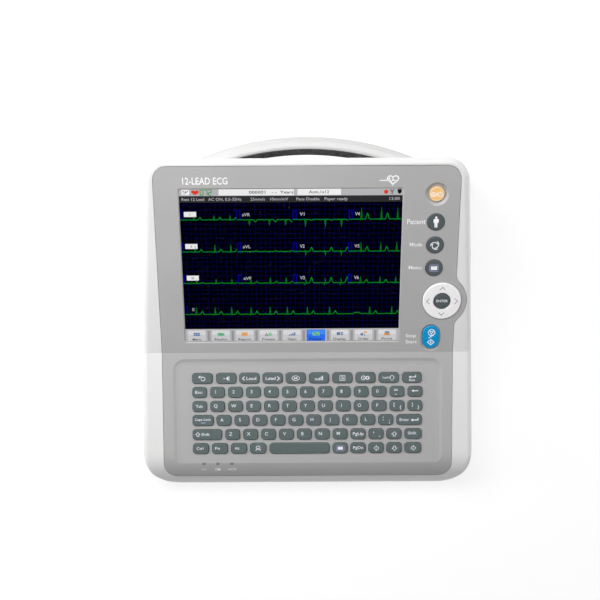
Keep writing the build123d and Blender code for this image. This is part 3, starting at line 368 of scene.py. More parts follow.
class Ink:
    def __init__(self, name, body, slot, material, matrix, z0=-0.02, z1=0.035):
        self.name, self.body, self.slot, self.material = name, body, slot, material
        self.matrix, self.z0, self.z1 = matrix, z0, z1
        self.bm = bmesh.new()
        self.shift = (0.0, 0.0)

    def at(self, x, y):
        self.shift = (x, y)
        return self

    def _v(self, p):
        return self.bm.verts.new((p[0] + self.shift[0], p[1] + self.shift[1], 0.0))

    def poly(self, pts):
        area = sum(pts[i][0] * pts[(i + 1) % len(pts)][1] - pts[(i + 1) % len(pts)][0] * pts[i][1]
                   for i in range(len(pts)))
        if area < 0:
            pts = list(reversed(pts))
        self.bm.faces.new([self._v(p) for p in pts])
        return self

    def rect(self, x0, y0, x1, y1):
        return self.poly([(x0, y0), (x1, y0), (x1, y1), (x0, y1)])

    def rrect(self, x0, y0, x1, y1, r, n=4):
        pts = []
        for cx, cy, a0 in ((x1 - r, y0 + r, -90), (x1 - r, y1 - r, 0), (x0 + r, y1 - r, 90), (x0 + r, y0 + r, 180)):
            for i in range(n + 1):
                a = math.radians(a0 + 90.0 * i / n)
                pts.append((cx + r * math.cos(a), cy + r * math.sin(a)))
        return self.poly(pts)

    def disc(self, cx, cy, r, n=20, ry=None):
        ry = r if ry is None else ry
        return self.poly([(cx + r * math.cos(2 * math.pi * i / n), cy + ry * math.sin(2 * math.pi * i / n))
                          for i in range(n)])

    def line(self, pts, w, closed=False):
        n = len(pts)
        left, right = [], []
        for i in range(n):
            dirs = []
            if closed or i > 0:
                a, b = pts[i - 1], pts[i]
                dirs.append((b[0] - a[0], b[1] - a[1]))
            if closed or i < n - 1:
                a, b = pts[i], pts[(i + 1) % n]
                dirs.append((b[0] - a[0], b[1] - a[1]))
            nx = ny = 0.0
            unit = []
            for d in dirs:
                k = math.hypot(*d) or 1e-9
                unit.append((-d[1] / k, d[0] / k))
                nx += -d[1] / k
                ny += d[0] / k
            k = math.hypot(nx, ny)
            if k < 1e-6:
                nx, ny, k = unit[0][0], unit[0][1], 1.0
            nx, ny = nx / k, ny / k
            m = 1.0 / max(0.45, nx * unit[0][0] + ny * unit[0][1])
            left.append((pts[i][0] + nx * w / 2 * m, pts[i][1] + ny * w / 2 * m))
            right.append((pts[i][0] - nx * w / 2 * m, pts[i][1] - ny * w / 2 * m))
        lv, rv = [self._v(p) for p in left], [self._v(p) for p in right]
        for i in range(n if closed else n - 1):
            j = (i + 1) % n
            self.bm.faces.new([rv[i], rv[j], lv[j], lv[i]])
        return self

    def arc(self, cx, cy, r, w, a0=0.0, a1=360.0, n=24, ry=None):
        ry = r if ry is None else ry
        full = abs(a1 - a0) >= 359.9
        k = n if full else n + 1
        pts = [(cx + r * math.cos(math.radians(a0 + (a1 - a0) * i / n)),
                cy + ry * math.sin(math.radians(a0 + (a1 - a0) * i / n))) for i in range(k)]
        return self.line(pts, w, closed=full)

    def text(self, s, x, y, cap, width=None, bold=0.0, spacing=1.0, align="C", middle=True):
        pts, faces = glyphs(s, cap, bold, spacing)
        x0, x1 = min(p[0] for p in pts), max(p[0] for p in pts)
        k = 1.0 if width is None else width / (x1 - x0)
        ox = {"C": (x0 + x1) / 2, "L": x0, "R": x1}[align]
        oy = cap / 2 if middle else 0.0
        vs = [self._v(((p[0] - ox) * k + x, p[1] - oy + y)) for p in pts]
        for f in faces:
            self.bm.faces.new([vs[i] for i in f])
        return self

    def done(self):
        bm = self.bm
        bmesh.ops.remove_doubles(bm, verts=bm.verts, dist=1e-4)
        tops = list(bm.faces)
        for v in bm.verts:
            v.co.z = self.z1
        ext = bmesh.ops.extrude_face_region(bm, geom=tops, use_keep_orig=True)
        for g in ext["geom"]:
            if isinstance(g, bmesh.types.BMVert):
                g.co.z = self.z0
        bmesh.ops.recalc_face_normals(bm, faces=bm.faces)
        bm.transform(self.matrix)
        me = bpy.data.meshes.new(self.name)
        bm.to_mesh(me)
        bm.free()
        me.materials.append(self.material)
        ob = bpy.data.objects.new(self.name, me)
        bpy.context.scene.collection.objects.link(ob)
        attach(ob, self.body)
        return ob


# ----------------------------------------------------------------------------
# display
# ----------------------------------------------------------------------------
WIN_X, WIN_V = -15.2, 89.1
LCD = 3.30


def screen(name, material, z0=-0.0, z1=0.04):
    return Ink(name, "root", "display_black", material, sloped(20, LCD, WIN_X, WIN_V), z0, z1)


HALF_U, HALF_W = 105.9, 77.9
TOP0, TOP1 = 70.3, HALF_W
DARK0 = 64.0
BAR1, BAR0 = -64.8, -HALF_W
COLS = [-105.0, -51.5, 1.9, 55.2]
BASE = [47.0, 15.2, -16.9, -49.3]

# faint chart grid
g = screen("screen_grid", lit("lit_grid", (0.0, 0.0, 0.055), fall=0.25), 0.0, 0.02)
step = 4.73
n_v = int(2 * HALF_U / step)
for i in range(n_v + 1):
    u = -HALF_U + 0.6 + step * i
    w = 0.42 if i % 2 else 0.30
    if u < HALF_U - 0.3:
        g.rect(u - w / 2, BAR1, u + w / 2, DARK0)
g.done()
g = screen("screen_grid_rows", lit("lit_grid_rows", (0.0, 0.0, 0.075), fall=0.25), 0.0, 0.022)
for i in range(28):
    w0 = 61.6 - step * i
    if w0 > BAR1 + 0.4:
        g.rect(-HALF_U, w0 - 0.2, HALF_U, w0 + 0.2)
g.done()

# top bars
b = screen("screen_status_bar", lit("lit_silver", (0.46, 0.46, 0.47)))
b.rect(-HALF_U, TOP0, HALF_U, TOP1)
b.rect(-HALF_U, BAR0, HALF_U, BAR1)
b.done()
b = screen("screen_info_bar", lit("lit_charcoal", (0.026, 0.026, 0.027)))
b.rect(-HALF_U, DARK0, HALF_U, TOP0 - 0.35)
b.done()

# white fields, lead boxes and light lettering
wh = screen("screen_white", lit("lit_white", (0.86, 0.86, 0.85)), 0.0, 0.07)
wh.rect(-68.2, TOP0 + 0.55, 3.0, 76.8)
wh.rect(6.2, TOP0 + 0.55, 47.4, 76.8)
wh.rrect(-103.4, 71.2, -95.6, 76.6, 1.5)
for k, col in enumerate(("I", "II", "III")):
    wh.rect(-101.9, BASE[k] + 3.0, -90.2, BASE[k] + 8.0)
wh.done()
tx = screen("screen_light_text", lit("lit_text", (0.52, 0.52, 0.54)), 0.0, 0.08)
for s, u0, u1 in (("Rest 12 Lead", -103.4, -82.0), ("AC ON, 0.5-35Hz", -78.2, -46.8), ("25mm/s", -38.3, -24.6),
                  ("10mm/mV", -19.5, -2.6), ("Pace Disable", 5.2, 27.1), ("Paper ready", 31.9, 53.8), ("12:00", 93.4, 102.9)):
    tx.text(s, (u0 + u1) / 2, 67.1, 2.7, u1 - u0, bold=0.008)
for k, (a, c1, c2) in enumerate((("aVR", "V1", "V4"), ("aVL", "V2", "V5"), ("aVF", "V3", "V6"))):
    tx.text(a, -42.8, BASE[k] + 5.0, 3.0, 7.4, bold=0.012)
    tx.text(c1, 10.6, BASE[k] + 5.3, 3.2, 4.4, bold=0.012)
    tx.text(c2, 63.2, BASE[k] + 5.3, 3.2, 4.6, bold=0.012)
tx.text("II", -96.9, BASE[3] + 5.2, 3.0, bold=0.012)
tx.done()

# dark lettering
dk = screen("screen_dark_text", lit("lit_black", (0.004, 0.004, 0.006)), 0.05, 0.13)
dk.text("000001   - -  Years", -18.5, 73.8, 2.7, 42.0, bold=0.03)
dk.text("Auto,1x12", 26.6, 73.9, 2.7, 19.0, bold=0.03)
dk.text("I", -96.1, BASE[0] + 5.4, 2.4, bold=0.004)
dk.text("II", -96.1, BASE[1] + 5.4, 2.4, bold=0.004)
dk.text("III", -96.1, BASE[2] + 5.4, 2.4, bold=0.004)
dk.line([(94.2, 75.4), (95.6, 73.6), (97.0, 75.4)], 0.7).rect(95.2, 71.2, 96.0, 73.8).disc(94.2, 75.4, 0.6, 8)
dk.disc(97.0, 75.4, 0.6, 8)
dk.poly([(100.8, 76.0), (104.6, 76.0), (104.6, 73.2), (102.7, 71.3), (100.8, 73.2)])
dk.rect(101.5, 75.8, 102.1, 77.0).rect(103.3, 75.8, 103.9, 77.0)
LABELS = ["Menu", "Rhythm", "Report", "Freeze", "Gain", "Filter", "Display", "Order", "Print"]
SOFT = [(-103.7, -85.5), (-79.7, -61.6), (-56.1, -38.0), (-32.4, -14.4), (-9.0, 9.0), (14.6, 33.1), (38.6, 56.4),
        (62.2, 79.9), (85.5, 103.4)]
for s, (u0, u1) in zip(LABELS, SOFT):
    dk.text(s, (u0 + u1) / 2, -75.9, 2.3, min(12.6, 2.15 * len(s)), bold=0.02)
dk.done()

# soft buttons along the foot of the display
gap = screen("screen_button_gaps", lit("lit_gap", (0.31, 0.31, 0.305)), 0.0, 0.055)
for (u0, u1), (n0, n1) in zip(SOFT, SOFT[1:]):
    gap.rect(u1 + 1.6, -77.4, n0 - 1.6, -66.6)
gap.done()
bt = screen("screen_buttons", lit("lit_button", (0.60, 0.585, 0.60)), 0.0, 0.075)
hi = screen("screen_button_gloss", lit("lit_button_gloss", (0.70, 0.69, 0.70)), 0.0, 0.08)
for i, (u0, u1) in enumerate(SOFT):
    if i == 5:
        continue
    bt.rrect(u0, -77.6, u1, -66.0, 1.2)
    hi.rrect(u0 + 0.5, -70.9, u1 - 0.5, -66.5, 1.0)
bt.done()
hi.done()
u0, u1 = SOFT[5]
bt = screen("screen_button_selected", lit("lit_selected", (0.028, 0.16, 0.84)), 0.0, 0.075)
bt.rrect(u0, -77.9, u1, -65.8, 1.2)
bt.done()
hi = screen("screen_button_selected_gloss", lit("lit_selected_gloss", (0.06, 0.25, 0.93)), 0.0, 0.08)
hi.rrect(u0 + 0.5, -70.9, u1 - 0.5, -66.3, 1.0)
hi.done()


def mid(i):
    return (SOFT[i][0] + SOFT[i][1]) / 2


ic = screen("screen_icons_steel", lit("lit_steel", (0.10, 0.20, 0.36)), 0.0, 0.13)
for a in range(3):
    for c in range(2):
        ic.at(mid(0), -70.6).rect(-3.1 + 2.15 * a, -1.5 + 1.75 * c, -1.2 + 2.15 * a, 0.05 + 1.75 * c)
for a in range(4):
    ic.at(mid(4), -70.9).rect(-3.2 + 1.75 * a, -1.4, -1.9 + 1.75 * a, -0.4 + 0.85 * a)
ic.at(mid(6), -70.4).rect(-3.1, -1.5, 0.4, 1.6).rect(0.9, 0.3, 3.3, 1.6).rect(0.9, -1.5, 3.3, -0.2)
ic.at(mid(7), -71.2).disc(-1.6, 0.0, 1.5, 12).rect(0.8, -1.8, 1.6, 0.0)
ic.at(mid(8), -70.2).rect(-2.2, 0.4, 2.2, 2.1)
ic.done()
ic = screen("screen_icons_green", lit("lit_icon_green", (0.17, 0.56, 0.30)), 0.0, 0.13)
ic.at(mid(1), -70.6).rrect(-3.4, -1.7, 3.4, 1.8, 0.5)
ic.at(mid(3), -70.8).rrect(0.1, -1.5, 3.4, 1.0, 0.5).arc(1.75, 1.0, 1.05, 0.5, 0, 180, 8)
ic.at(mid(5), -70.3).rrect(-3.6, -1.9, 3.6, 1.9, 0.5)
ic.done()
ic = screen("screen_icons_orange", lit("lit_icon_orange", (0.78, 0.36, 0.10)), 0.0, 0.13)
ic.at(mid(2), -70.5).rrect(-3.0, -1.7, 3.0, 1.8, 0.4)
ic.at(mid(7), -70.2).rect(0.0, 0.4, 3.4, 2.0)
ic.at(mid(8), -70.9).rrect(-3.2, -1.5, 3.2, 0.9, 0.4)
ic.done()
ic = screen("screen_icon_lines", lit("lit_icon_lines", (0.07, 0.09, 0.09)), 0.0, 0.16)
ic.at(mid(1), -70.6).line([(-2.7, -0.4), (-1.3, -0.4), (-0.5, 1.1), (0.4, -1.0), (1.0, -0.1), (2.6, -0.1)], 0.45)
ic.at(mid(3), -70.8).line([(-3.3, -1.4), (-1.8, 1.3), (-0.5, -1.4)], 0.5, closed=True)
ic.at(mid(5), -70.3).line([(-2.6, 0.9), (-0.8, 0.9), (0.4, -1.0), (2.4, -1.0)], 0.5)
ic.at(mid(8), -70.9).rect(-1.8, -0.5, 1.8, 0.3)
ic.done()

# heart, rate and mute marks in the status bar
red = screen("screen_red", lit("lit_red", (0.80, 0.035, 0.01)), 0.0, 0.10)
heart = []
for i in range(40):
    t = 2 * math.pi * i / 40
    heart.append((0.226 * 16 * math.sin(t) ** 3,
                  0.172 * (13 * math.cos(t) - 5 * math.cos(2 * t) - 2 * math.cos(3 * t) - math.cos(4 * t)) + 0.35))
red.at(-90.4, 73.4).poly(heart)
red.at(0, 0).disc(90.0, 73.6, 2.0, 16).disc(-101.6, 74.6, 0.7, 8)
red.done()
gr = screen("screen_rate", lit("lit_rate", (0.02, 0.30, 0.035)), 0.0, 0.10)
for i, digit in enumerate((0, 7, 2)):
    x0 = -85.6 + 3.9 * i
    segs = {0: "abcdef", 7: "abc", 2: "abged"}[digit]
    s = {"a": ((x0, 76.2), (x0 + 2.7, 76.2)), "b": ((x0 + 2.7, 76.2), (x0 + 2.7, 73.6)),
         "c": ((x0 + 2.7, 73.6), (x0 + 2.7, 71.2)), "d": ((x0, 71.2), (x0 + 2.7, 71.2)),
         "e": ((x0, 71.2), (x0, 73.6)), "f": ((x0, 73.6), (x0, 76.2)), "g": ((x0, 73.6), (x0 + 2.7, 73.6))}
    for k in segs:
        gr.line(list(s[k]), 0.75)
gr.disc(-100.8, 72.4, 0.6, 8)
gr.done()
bl = screen("screen_blue", lit("lit_blue", (0.0, 0.0, 0.46)), 0.0, 0.05)
for r in range(3):
    for c in range(4):
        u = COLS[c] if c else COLS[0] - 1.6
        h = BASE[r]
        if c == 0:
            bl.line([(u + 0.4, h + 8.5), (u + 2.6, h + 8.5), (u + 2.6, h)], 0.45)
        else:
            bl.line([(u, h), (u, h + 8.5), (u + 2.9, h + 8.5), (u + 2.9, h)], 0.45)
bl.line([(-104.8, BASE[3] + 8.5), (-102.9, BASE[3] + 8.5), (-102.9, BASE[3])], 0.45)
bl.done()
bl = screen("screen_marks", lit("lit_marks", (0.02, 0.12, 0.80)), 0.0, 0.10)
bl.disc(-99.2, 74.1, 0.9, 10).disc(-97.3, 74.8, 0.5, 8)
bl.done()

# heart traces
LEADS = [
    [dict(r=4.0, t=2.4), dict(r=-5.5, t=-2.2), dict(r=-7.2, t=-1.0), dict(r=11.6, t=5.8)],
    [dict(r=7.2, t=2.5), dict(r=0.35, t=0.8), dict(r=-4.3, t=4.0, q=1.2), dict(r=9.2, t=4.6)],
    [dict(r=4.0, t=0.9), dict(r=5.6, t=1.7), dict(r=4.7, t=5.6, q=-2.0), dict(r=6.2, t=3.2)],
]
BEATS = [11.9, 30.9, 46.3]


def beat(u, h, lead):
    r, t, q = lead["r"], lead["t"], lead.get("q", -0.35)
    pts = [(u - 6.0, h), (u - 4.8, h + 0.45 * (1 if t >= 0 else -1)), (u - 3.6, h), (u - 0.95, h), (u - 0.6, h + q),
           (u, h + r), (u + 0.55, h - 0.25 * (1 if r > 0 else -1)), (u + 0.9, h)]
    for k, f in ((3.6, 0.0), (4.3, 0.18), (5.0, 0.62), (5.7, 1.0), (6.3, 0.8), (7.1, 0.2), (7.9, 0.0)):
        pts.append((u + k, h + t * f))
    return pts


tr = screen("screen_traces", lit("lit_trace", (0.001, 0.31, 0.006)), 0.0, 0.09)
for r in range(3):
    for c in range(4):
        h = BASE[r]
        start = COLS[c] + (0.0 if c else -0.6)
        end = (COLS[c + 1] if c < 3 else HALF_U) - 0.4
        pts = [(start, h)]
        for b_u in BEATS:
            for p in beat(COLS[c] + b_u + (0.6 if c == 0 else 0.0), h, LEADS[r][c]):
                if pts[-1][0] + 0.05 < p[0] < end:
                    pts.append(p)
        tr.line(pts, 0.52)
h = BASE[3]
pts = [(-104.9, h)]
for u in (-94.0, -75.4, -59.2, -40.0, -21.3, -4.3, 15.4, 37.2, 76.7, 98.4):
    for p in beat(u, h, dict(r=7.6, t=3.3)):
        if pts[-1][0] + 0.05 < p[0] < HALF_U - 0.3:
            pts.append(p)
    if u == 37.2:
        pts += [(60.2, h), (62.6, h + 1.3), (66.0, h + 1.3), (68.4, h)]
pts.append((HALF_U - 0.3, h))
tr.line(pts, 0.52)
tr.done()

# ----------------------------------------------------------------------------
# key legends
# ----------------------------------------------------------------------------
ROW_V = [kv(y) for y in (-63.6, -77.8, -92.0, -106.2, -120.5, -134.7)]
ROW_X = [
    [(-115.3, -95.0), (-91.2, -71.2), (-68.0, -48.2), (-44.7, -25.0), (-21.6, -1.9), (1.8, 21.5), (25.1, 44.8),
     (48.3, 67.9), (71.5, 91.2), (94.8, 114.2)],
    [(-115.3 + 17.98 * i, -100.9 + 17.98 * i) for i in range(13)],
    [(-115.3 + 17.98 * i, -100.9 + 17.98 * i) for i in range(13)],
    [(-115.4, -94.3)] + [(-91.3 + 18.05 * i, -76.7 + 18.05 * i) for i in range(10)] + [(89.4, 114.4)],
    [(-115.5, -86.1)] + [(-82.7 + 18.0 * i, -68.0 + 18.0 * i) for i in range(10)] + [(97.5, 114.4)],
    [(-115.4, -99.5), (-96.3, -80.4), (-77.2, -61.2), (-57.9, -41.9), (-38.3, 22.0), (25.2, 40.0), (43.2, 58.1),
     (61.3, 76.3), (79.4, 94.4), (97.5, 113.9)],
]
KEY_TOP = -0.45


def key_ink(name, body, material=INK_KEY):
    return Ink(name, body, "ring_white", material, sloped(5, KEY_TOP), -0.02, 0.03)


def key_at(r, c):
    x0, x1 = ROW_X[r - 1][c - 1]
    return x0, x1, ROW_V[r - 1]


def letter(ink, r, c, s, dx=0.37, dv=0.75, cap=3.3):
    x0, x1, v = key_at(r, c)
    ink.at(0, 0).text(s, x0 + dx * 14.5, v + dv, cap, bold=0.025)


def word(ink, r, c, s, width, cap=2.7, dx=0.0, dv=0.4):
    x0, x1, v = key_at(r, c)
    ink.at(0, 0).text(s, (x0 + x1) / 2 + dx, v + dv, cap, width, bold=0.03)


def icon(ink, r, c, dx=0.0, dv=0.0):
    x0, x1, v = key_at(r, c)
    return ink.at((x0 + x1) / 2 + dx, v + dv)


def arrow(ink, angle, size=2.4, w=0.5):
    """Outlined arrow pointing along angle."""
    s, t = size, size * 0.42
    pts = [(s, 0), (0, s), (0, t), (-s * 0.8, t), (-s * 0.8, -t), (0, -t), (0, -s)]
    a = math.radians(angle)
    ink.line([(x * math.cos(a) - y * math.sin(a), x * math.sin(a) + y * math.cos(a)) for x, y in pts], w, closed=True)


num = key_ink("number_legends", "number_caps")
for i, s in enumerate("1234567890"):
    letter(num, 2, 2 + i, s)
icon(num, 2, 12, -1.4, 0.6).rect(-1.9, 0.5, 1.9, 1.1).rect(-1.9, 1.7, 1.9, 2.2).rect(-0.9, -3.4, 1.0, -2.8)
icon(num, 3, 12).line([(-2.4, 2.8), (-3.2, 2.8), (-3.2, -0.8), (-2.4, -0.8)], 0.55)
icon(num, 3, 12).line([(3.9, 0.3), (3.3, 0.0), (3.3, -1.2), (2.8, -1.7), (3.3, -2.2), (3.3, -3.4), (3.9, -3.7)], 0.5)
icon(num, 3, 13).line([(-3.4, 2.8), (-2.6, 2.8), (-2.6, -0.8), (-3.4, -0.8)], 0.55)
icon(num, 3, 13).line([(2.6, 0.3), (3.2, 0.0), (3.2, -1.2), (3.7, -1.7), (3.2, -2.2), (3.2, -3.4), (2.6, -3.7)], 0.5)
icon(num, 4, 11).rect(-3.0, 2.2, -2.2, 3.0).rect(-3.0, -0.4, -2.2, 0.4)
icon(num, 4, 11).rect(3.2, -1.0, 4.0, -0.2).poly([(3.2, -2.6), (4.0, -2.6), (4.0, -3.4), (3.3, -4.2)])
icon(num, 5, 10).rect(-2.9, 0.8, -2.1, 2.4).rect(2.8, -2.8, 4.4, -2.2)
num.done()

let = key_ink("letter_legends", "letter_caps")
for i, s in enumerate("QWERTYUIOP"):
    letter(let, 3, 2 + i, s)
for i, s in enumerate("ASDFGHJKL"):
    letter(let, 4, 2 + i, s)
for i, s in enumerate("ZXCVBNM"):
    letter(let, 5, 2 + i, s)
let.done()

# touch-typing bars on F and J, moulded proud of the caps
bar = Ink("touch_bars", "letter_caps", "key_grey", SLOT_MATERIAL["key_grey"], sloped(5, KEY_TOP), -0.05, 0.35)
for c in (5, 8):
    x0, x1, v = key_at(4, c)
    bar.at((x0 + x1) / 2, v - 3.9).rrect(-1.9, -0.35, 1.9, 0.35, 0.3, 3)
bar.done()

mod = key_ink("modifier_legends", "modifier_caps")
word(mod, 2, 1, "Esc", 7.0, dx=-0.6)
word(mod, 3, 1, "Tab", 6.8, dx=-0.5)
word(mod, 4, 1, "Caps Lock", 16.2, 2.3, dx=0.0, dv=1.2)
x0, x1, v = key_at(5, 1)
mod.at(x0 + 5.2, v + 0.3)
arrow(mod, 90, 2.3, 0.5)
mod.at(0, 0).text("Shift", x0 + 12.9, v + 0.3, 2.8, 8.4, bold=0.03)
word(mod, 5, 12, "Shift", 8.6, dx=-1.2, dv=0.8)
word(mod, 6, 1, "Ctrl", 6.9, dx=-0.9)
word(mod, 6, 2, "Fn", 4.6, dx=-2.4)
word(mod, 6, 3, "Alt", 4.9, dx=-1.9)
icon(mod, 6, 4).line([(-2.2, 0.5), (-1.2, 2.4), (1.2, 2.4), (2.2, 0.5)], 0.55)
icon(mod, 6, 4).line([(-2.2, -2.4), (-2.2, -1.2), (-1.1, 0.2), (1.1, 0.2), (2.2, -1.2), (2.2, -2.4)], 0.55)
icon(mod, 6, 4).rect(-1.9, -1.3, 1.9, -0.8)
icon(mod, 6, 6).rrect(-2.6, -1.6, 2.6, 1.5, 0.3)
mod.done()
lil = key_ink("menu_key_frame", "modifier_caps", INK_LILAC)
pts = []
for cx, cy, a0 in ((3.1, -1.9, -90), (3.1, 1.8, 0), (-3.1, 1.8, 90), (-3.1, -1.9, 180)):
    for i in range(4):
        a = math.radians(a0 + 30.0 * i)
        pts.append((cx + 0.8 * math.cos(a), cy + 0.8 * math.sin(a)))
icon(lil, 6, 6).line(pts, 0.4, closed=True)
lil.done()
lamp = key_ink("caps_lamp", "modifier_caps", INK_BLUE)
icon(lamp, 4, 1, 0.0, -2.2).rrect(-2.2, -0.7, 2.2, 0.7, 0.4, 3)
lamp.done()

cur = key_ink("cursor_legends", "cursor_caps")
word(cur, 5, 9, "PgUp", 10.6, 2.9, dv=0.4)
word(cur, 6, 7, "PgDn", 10.0, 2.9, dv=0.4)
for (r, c), a in {(5, 11): 90, (6, 8): 180, (6, 9): 270, (6, 10): 0}.items():
    icon(cur, r, c, 0.3, -0.2)
    arrow(cur, a, 2.5, 0.5)
icon(cur, 2, 13, -0.2, 0.9).poly([(-3.5, 0.0), (-1.3, 1.3), (-1.3, 0.45), (3.3, 0.45), (3.3, -0.45), (-1.3, -0.45),
                                  (-1.3, -1.3)])
cur.done()

ent = key_ink("enter_legend", "enter_key_cap")
x0, x1, v = key_at(4, 12)
ent.at(0, 0).text("Enter", x0 + 7.6, v + 0.2, 2.7, 9.6, bold=0.03)
ent.at(x0 + 17.6, v + 0.2).poly([(-3.7, -0.5), (-1.3, 1.0), (-1.3, 0.0), (3.2, 0.0), (3.2, 1.6), (4.1, 1.6), (4.1, -1.0),
                                 (-1.3, -1.0), (-1.3, -2.0)])
ent.done()

FN = []
for i in range(10):
    k = key_ink("function_legend_%02d" % (i + 1), "function_cap_%02d" % (i + 1))
    icon(k, 1, i + 1, 0.0, -0.1)
    FN.append(k)
FN[0].arc(0.8, -0.3, 1.9, 0.6, 150, -180, 18).line([(0.8, 1.6), (-3.4, 1.6)], 0.6)
FN[0].line([(-1.7, 0.2), (-3.6, 1.6), (-1.7, 2.9)], 0.55)
FN[1].poly([(-0.4, 0.0), (2.0, 2.3), (2.0, -2.3)]).rect(2.5, -2.6, 3.1, 2.6).disc(-1.6, 0.0, 0.5, 8)
FN[1].line([(-2.9, 0.0), (-1.6, 0.0)], 0.4)
FN[2].line([(-4.6, 2.0), (-6.8, 0.0), (-4.6, -2.0)], 0.75).text("Lead", 2.0, 0.0, 2.9, 9.8, bold=0.04)
FN[3].text("Lead", -2.0, 0.0, 2.9, 9.8, bold=0.04).line([(4.6, 2.0), (6.8, 0.0), (4.6, -2.0)], 0.75)
FN[4].arc(0, 0, 3.7, 0.5, ry=2.4).line([(-2.0, 1.3), (2.0, -1.3)], 0.55).line([(-2.0, -1.3), (2.0, 1.3)], 0.55)
FN[4].line([(-1.6, 0.0), (1.6, 0.0)], 0.5)
FN[5].arc(-3.1, -1.1, 0.9, 0.5, n=12)
for i, hgt in enumerate((1.7, 2.6, 3.5, 4.4)):
    FN[5].rect(-1.5 + 1.5 * i, -2.1, -0.6 + 1.5 * i, -2.1 + hgt)
FN[6].line([(-2.5, 2.4), (-2.5, -2.4), (2.5, -2.4), (2.5, 2.4)], 0.5, closed=True)
FN[6].rect(-1.3, 0.9, 1.3, 1.4).rect(-1.3, -0.3, 0.2, 0.2).rect(0.7, -1.5, 1.3, 0.2).rect(-1.3, -1.5, 0.2, -1.0)
FN[7].arc(-2.3, 0.0, 2.0, 0.6, n=18).line([(-2.3, 1.1), (-2.3, 0.0), (-1.4, -0.6)], 0.45)
FN[7].arc(1.9, 0.0, 1.5, 0.9, n=14).rect(3.5, -0.3, 4.2, 0.3)
FN[8].text("1mV", -2.9, 0.2, 2.0, 6.4, bold=0.03).arc(3.1, 0.2, 2.0, 0.6, -60, 240, 18)
FN[8].line([(0.3, -0.3), (1.1, -0.3)], 0.5).line([(2.2, -2.4), (4.2, -2.4)], 0.5)
FN[9].text("Exit", 0.0, -2.4, 2.1, 5.6, bold=0.03)
FN[9].line([(-2.9, 0.7), (3.4, 0.7), (3.4, 2.8)], 0.7).line([(-0.9, -0.3), (-3.1, 0.7), (-0.9, 1.7)], 0.55)
for k in FN:
    k.done()

# ----------------------------------------------------------------------------
# round buttons, direction ring and start / stop capsule
# ----------------------------------------------------------------------------
BTN_X = 122.55


def cap_ink(name, body, x, v, top, material=INK_WHITE):
    return Ink(name, body, "ring_white", material, sloped(20, -top, x, v), -0.02, 0.03)


p = cap_ink("power_symbol", "power_cap", BTN_X, sv(113.2), -0.7)
p.arc(-3.3, -0.3, 1.9, 0.7, n=20).disc(-3.3, -0.3, 0.75, 10).line([(-0.9, -2.2), (0.7, 1.5)], 0.6)
p.arc(3.1, -0.3, 2.0, 0.75, 118, 422, 20).line([(3.1, 2.6), (3.1, 0.2)], 0.7)
p.done()
# painted highlight: a light ring printed round the edge of the power cap, standing for the light its rounded rim
# catches
p = cap_ink("power_rim_painted_highlight", "power_cap", BTN_X, sv(113.2), -0.7, printed("ink_rim_painted_highlight", (0.90, 0.80, 0.74)))
p.arc(0, 0, 6.42, 0.5, n=48)
p.done()

p = cap_ink("patient_symbol", "patient_cap", BTN_X, sv(87.8), 0.9)
p.at(0, 0.2).disc(0, 4.35, 1.15, 16)
p.poly([(-1.9, 3.1), (1.9, 3.1), (2.5, 2.4), (2.5, -0.4), (1.9, -0.9), (1.5, -0.6), (1.5, -1.0), (1.35, -5.4), (0.2, -5.4),
        (0.0, -1.2), (-0.2, -5.4), (-1.35, -5.4), (-1.5, -1.0), (-1.5, -0.6), (-1.9, -0.9), (-2.5, -0.4), (-2.5, 2.4)])
p.done()

p = cap_ink("mode_symbol", "mode_cap", BTN_X, sv(66.4), 0.9)
for i in range(3):
    a = math.radians(120 * i + 90)
    pts = []
    for t in range(13):
        ph = math.radians(120 * i + 90 - 68 + 150 * t / 12)
        rr = 2.6 + 1.7 * (t / 12) ** 2
        pts.append((rr * math.cos(ph), rr * math.sin(ph) - 0.2))
    p.line(pts, 0.75)
    e = pts[-1]
    ph = math.radians(120 * i + 90 + 82)
    p.line([(e[0] - 1.5 * math.cos(ph + 0.5), e[1] - 1.5 * math.sin(ph + 0.5)), e,
            (e[0] - 1.3 * math.cos(ph - 1.3), e[1] - 1.3 * math.sin(ph - 1.3))], 0.6)
p.done()

p = cap_ink("menu_symbol", "menu_cap", BTN_X, sv(44.8), 0.9)
p.rrect(-3.1, -2.0, 3.1, 1.8, 0.3)
p.done()
p = cap_ink("menu_symbol_frame", "menu_cap", BTN_X, sv(44.8), 0.9, INK_LILAC)
pts = []
for cx, cy, a0 in ((3.1, -2.2, -90), (3.1, 2.0, 0), (-3.1, 2.0, 90), (-3.1, -2.2, 180)):
    for i in range(5):
        a = math.radians(a0 + 22.5 * i)
        pts.append((cx + 1.1 * math.cos(a), cy + 1.1 * math.sin(a)))
p.line(pts, 0.55, closed=True)
p.done()

p = cap_ink("direction_marks", "ring", 131.7, 53.975, 1.3, INK_GREY)
for cx, cy, a in ((0, 13.0, 0), (0, -13.2, 180), (-13.6, 0, 90), (13.7, 0, 270)):
    ca, sa = math.cos(math.radians(a)), math.sin(math.radians(a))
    p.at(cx, cy).line([(x * ca - y * sa, x * sa + y * ca) for x, y in ((-2.7, -1.4), (0, 1.5), (2.7, -1.4))], 0.6)
p.done()
p = cap_ink("enter_mark", "enter_cap", 131.7, 53.975, 1.0)
p.text("ENTER", 0, 0.2, 2.3, 11.2, bold=0.03)
p.done()

p = cap_ink("start_stop_marks", "start_stop_cap", BTN_X - 0.15, sv(-22.9), 0.8)
p.at(0.5, 5.0).arc(0, 0, 3.2, 0.75, n=22).line([(-1.7, 1.3), (1.7, 1.3), (0, -1.8)], 0.6, closed=True)
p.at(0, 0).line([(-2.6, -1.1), (0.2, 0.3), (-0.3, 0.9), (2.6, 1.7)], 0.6)
p.at(0.1, -5.3).line([(0, 3.0), (3.2, 0), (0, -3.0), (-3.2, 0)], 0.75, closed=True).rect(-0.5, -1.5, 0.5, 1.5)
p.done()

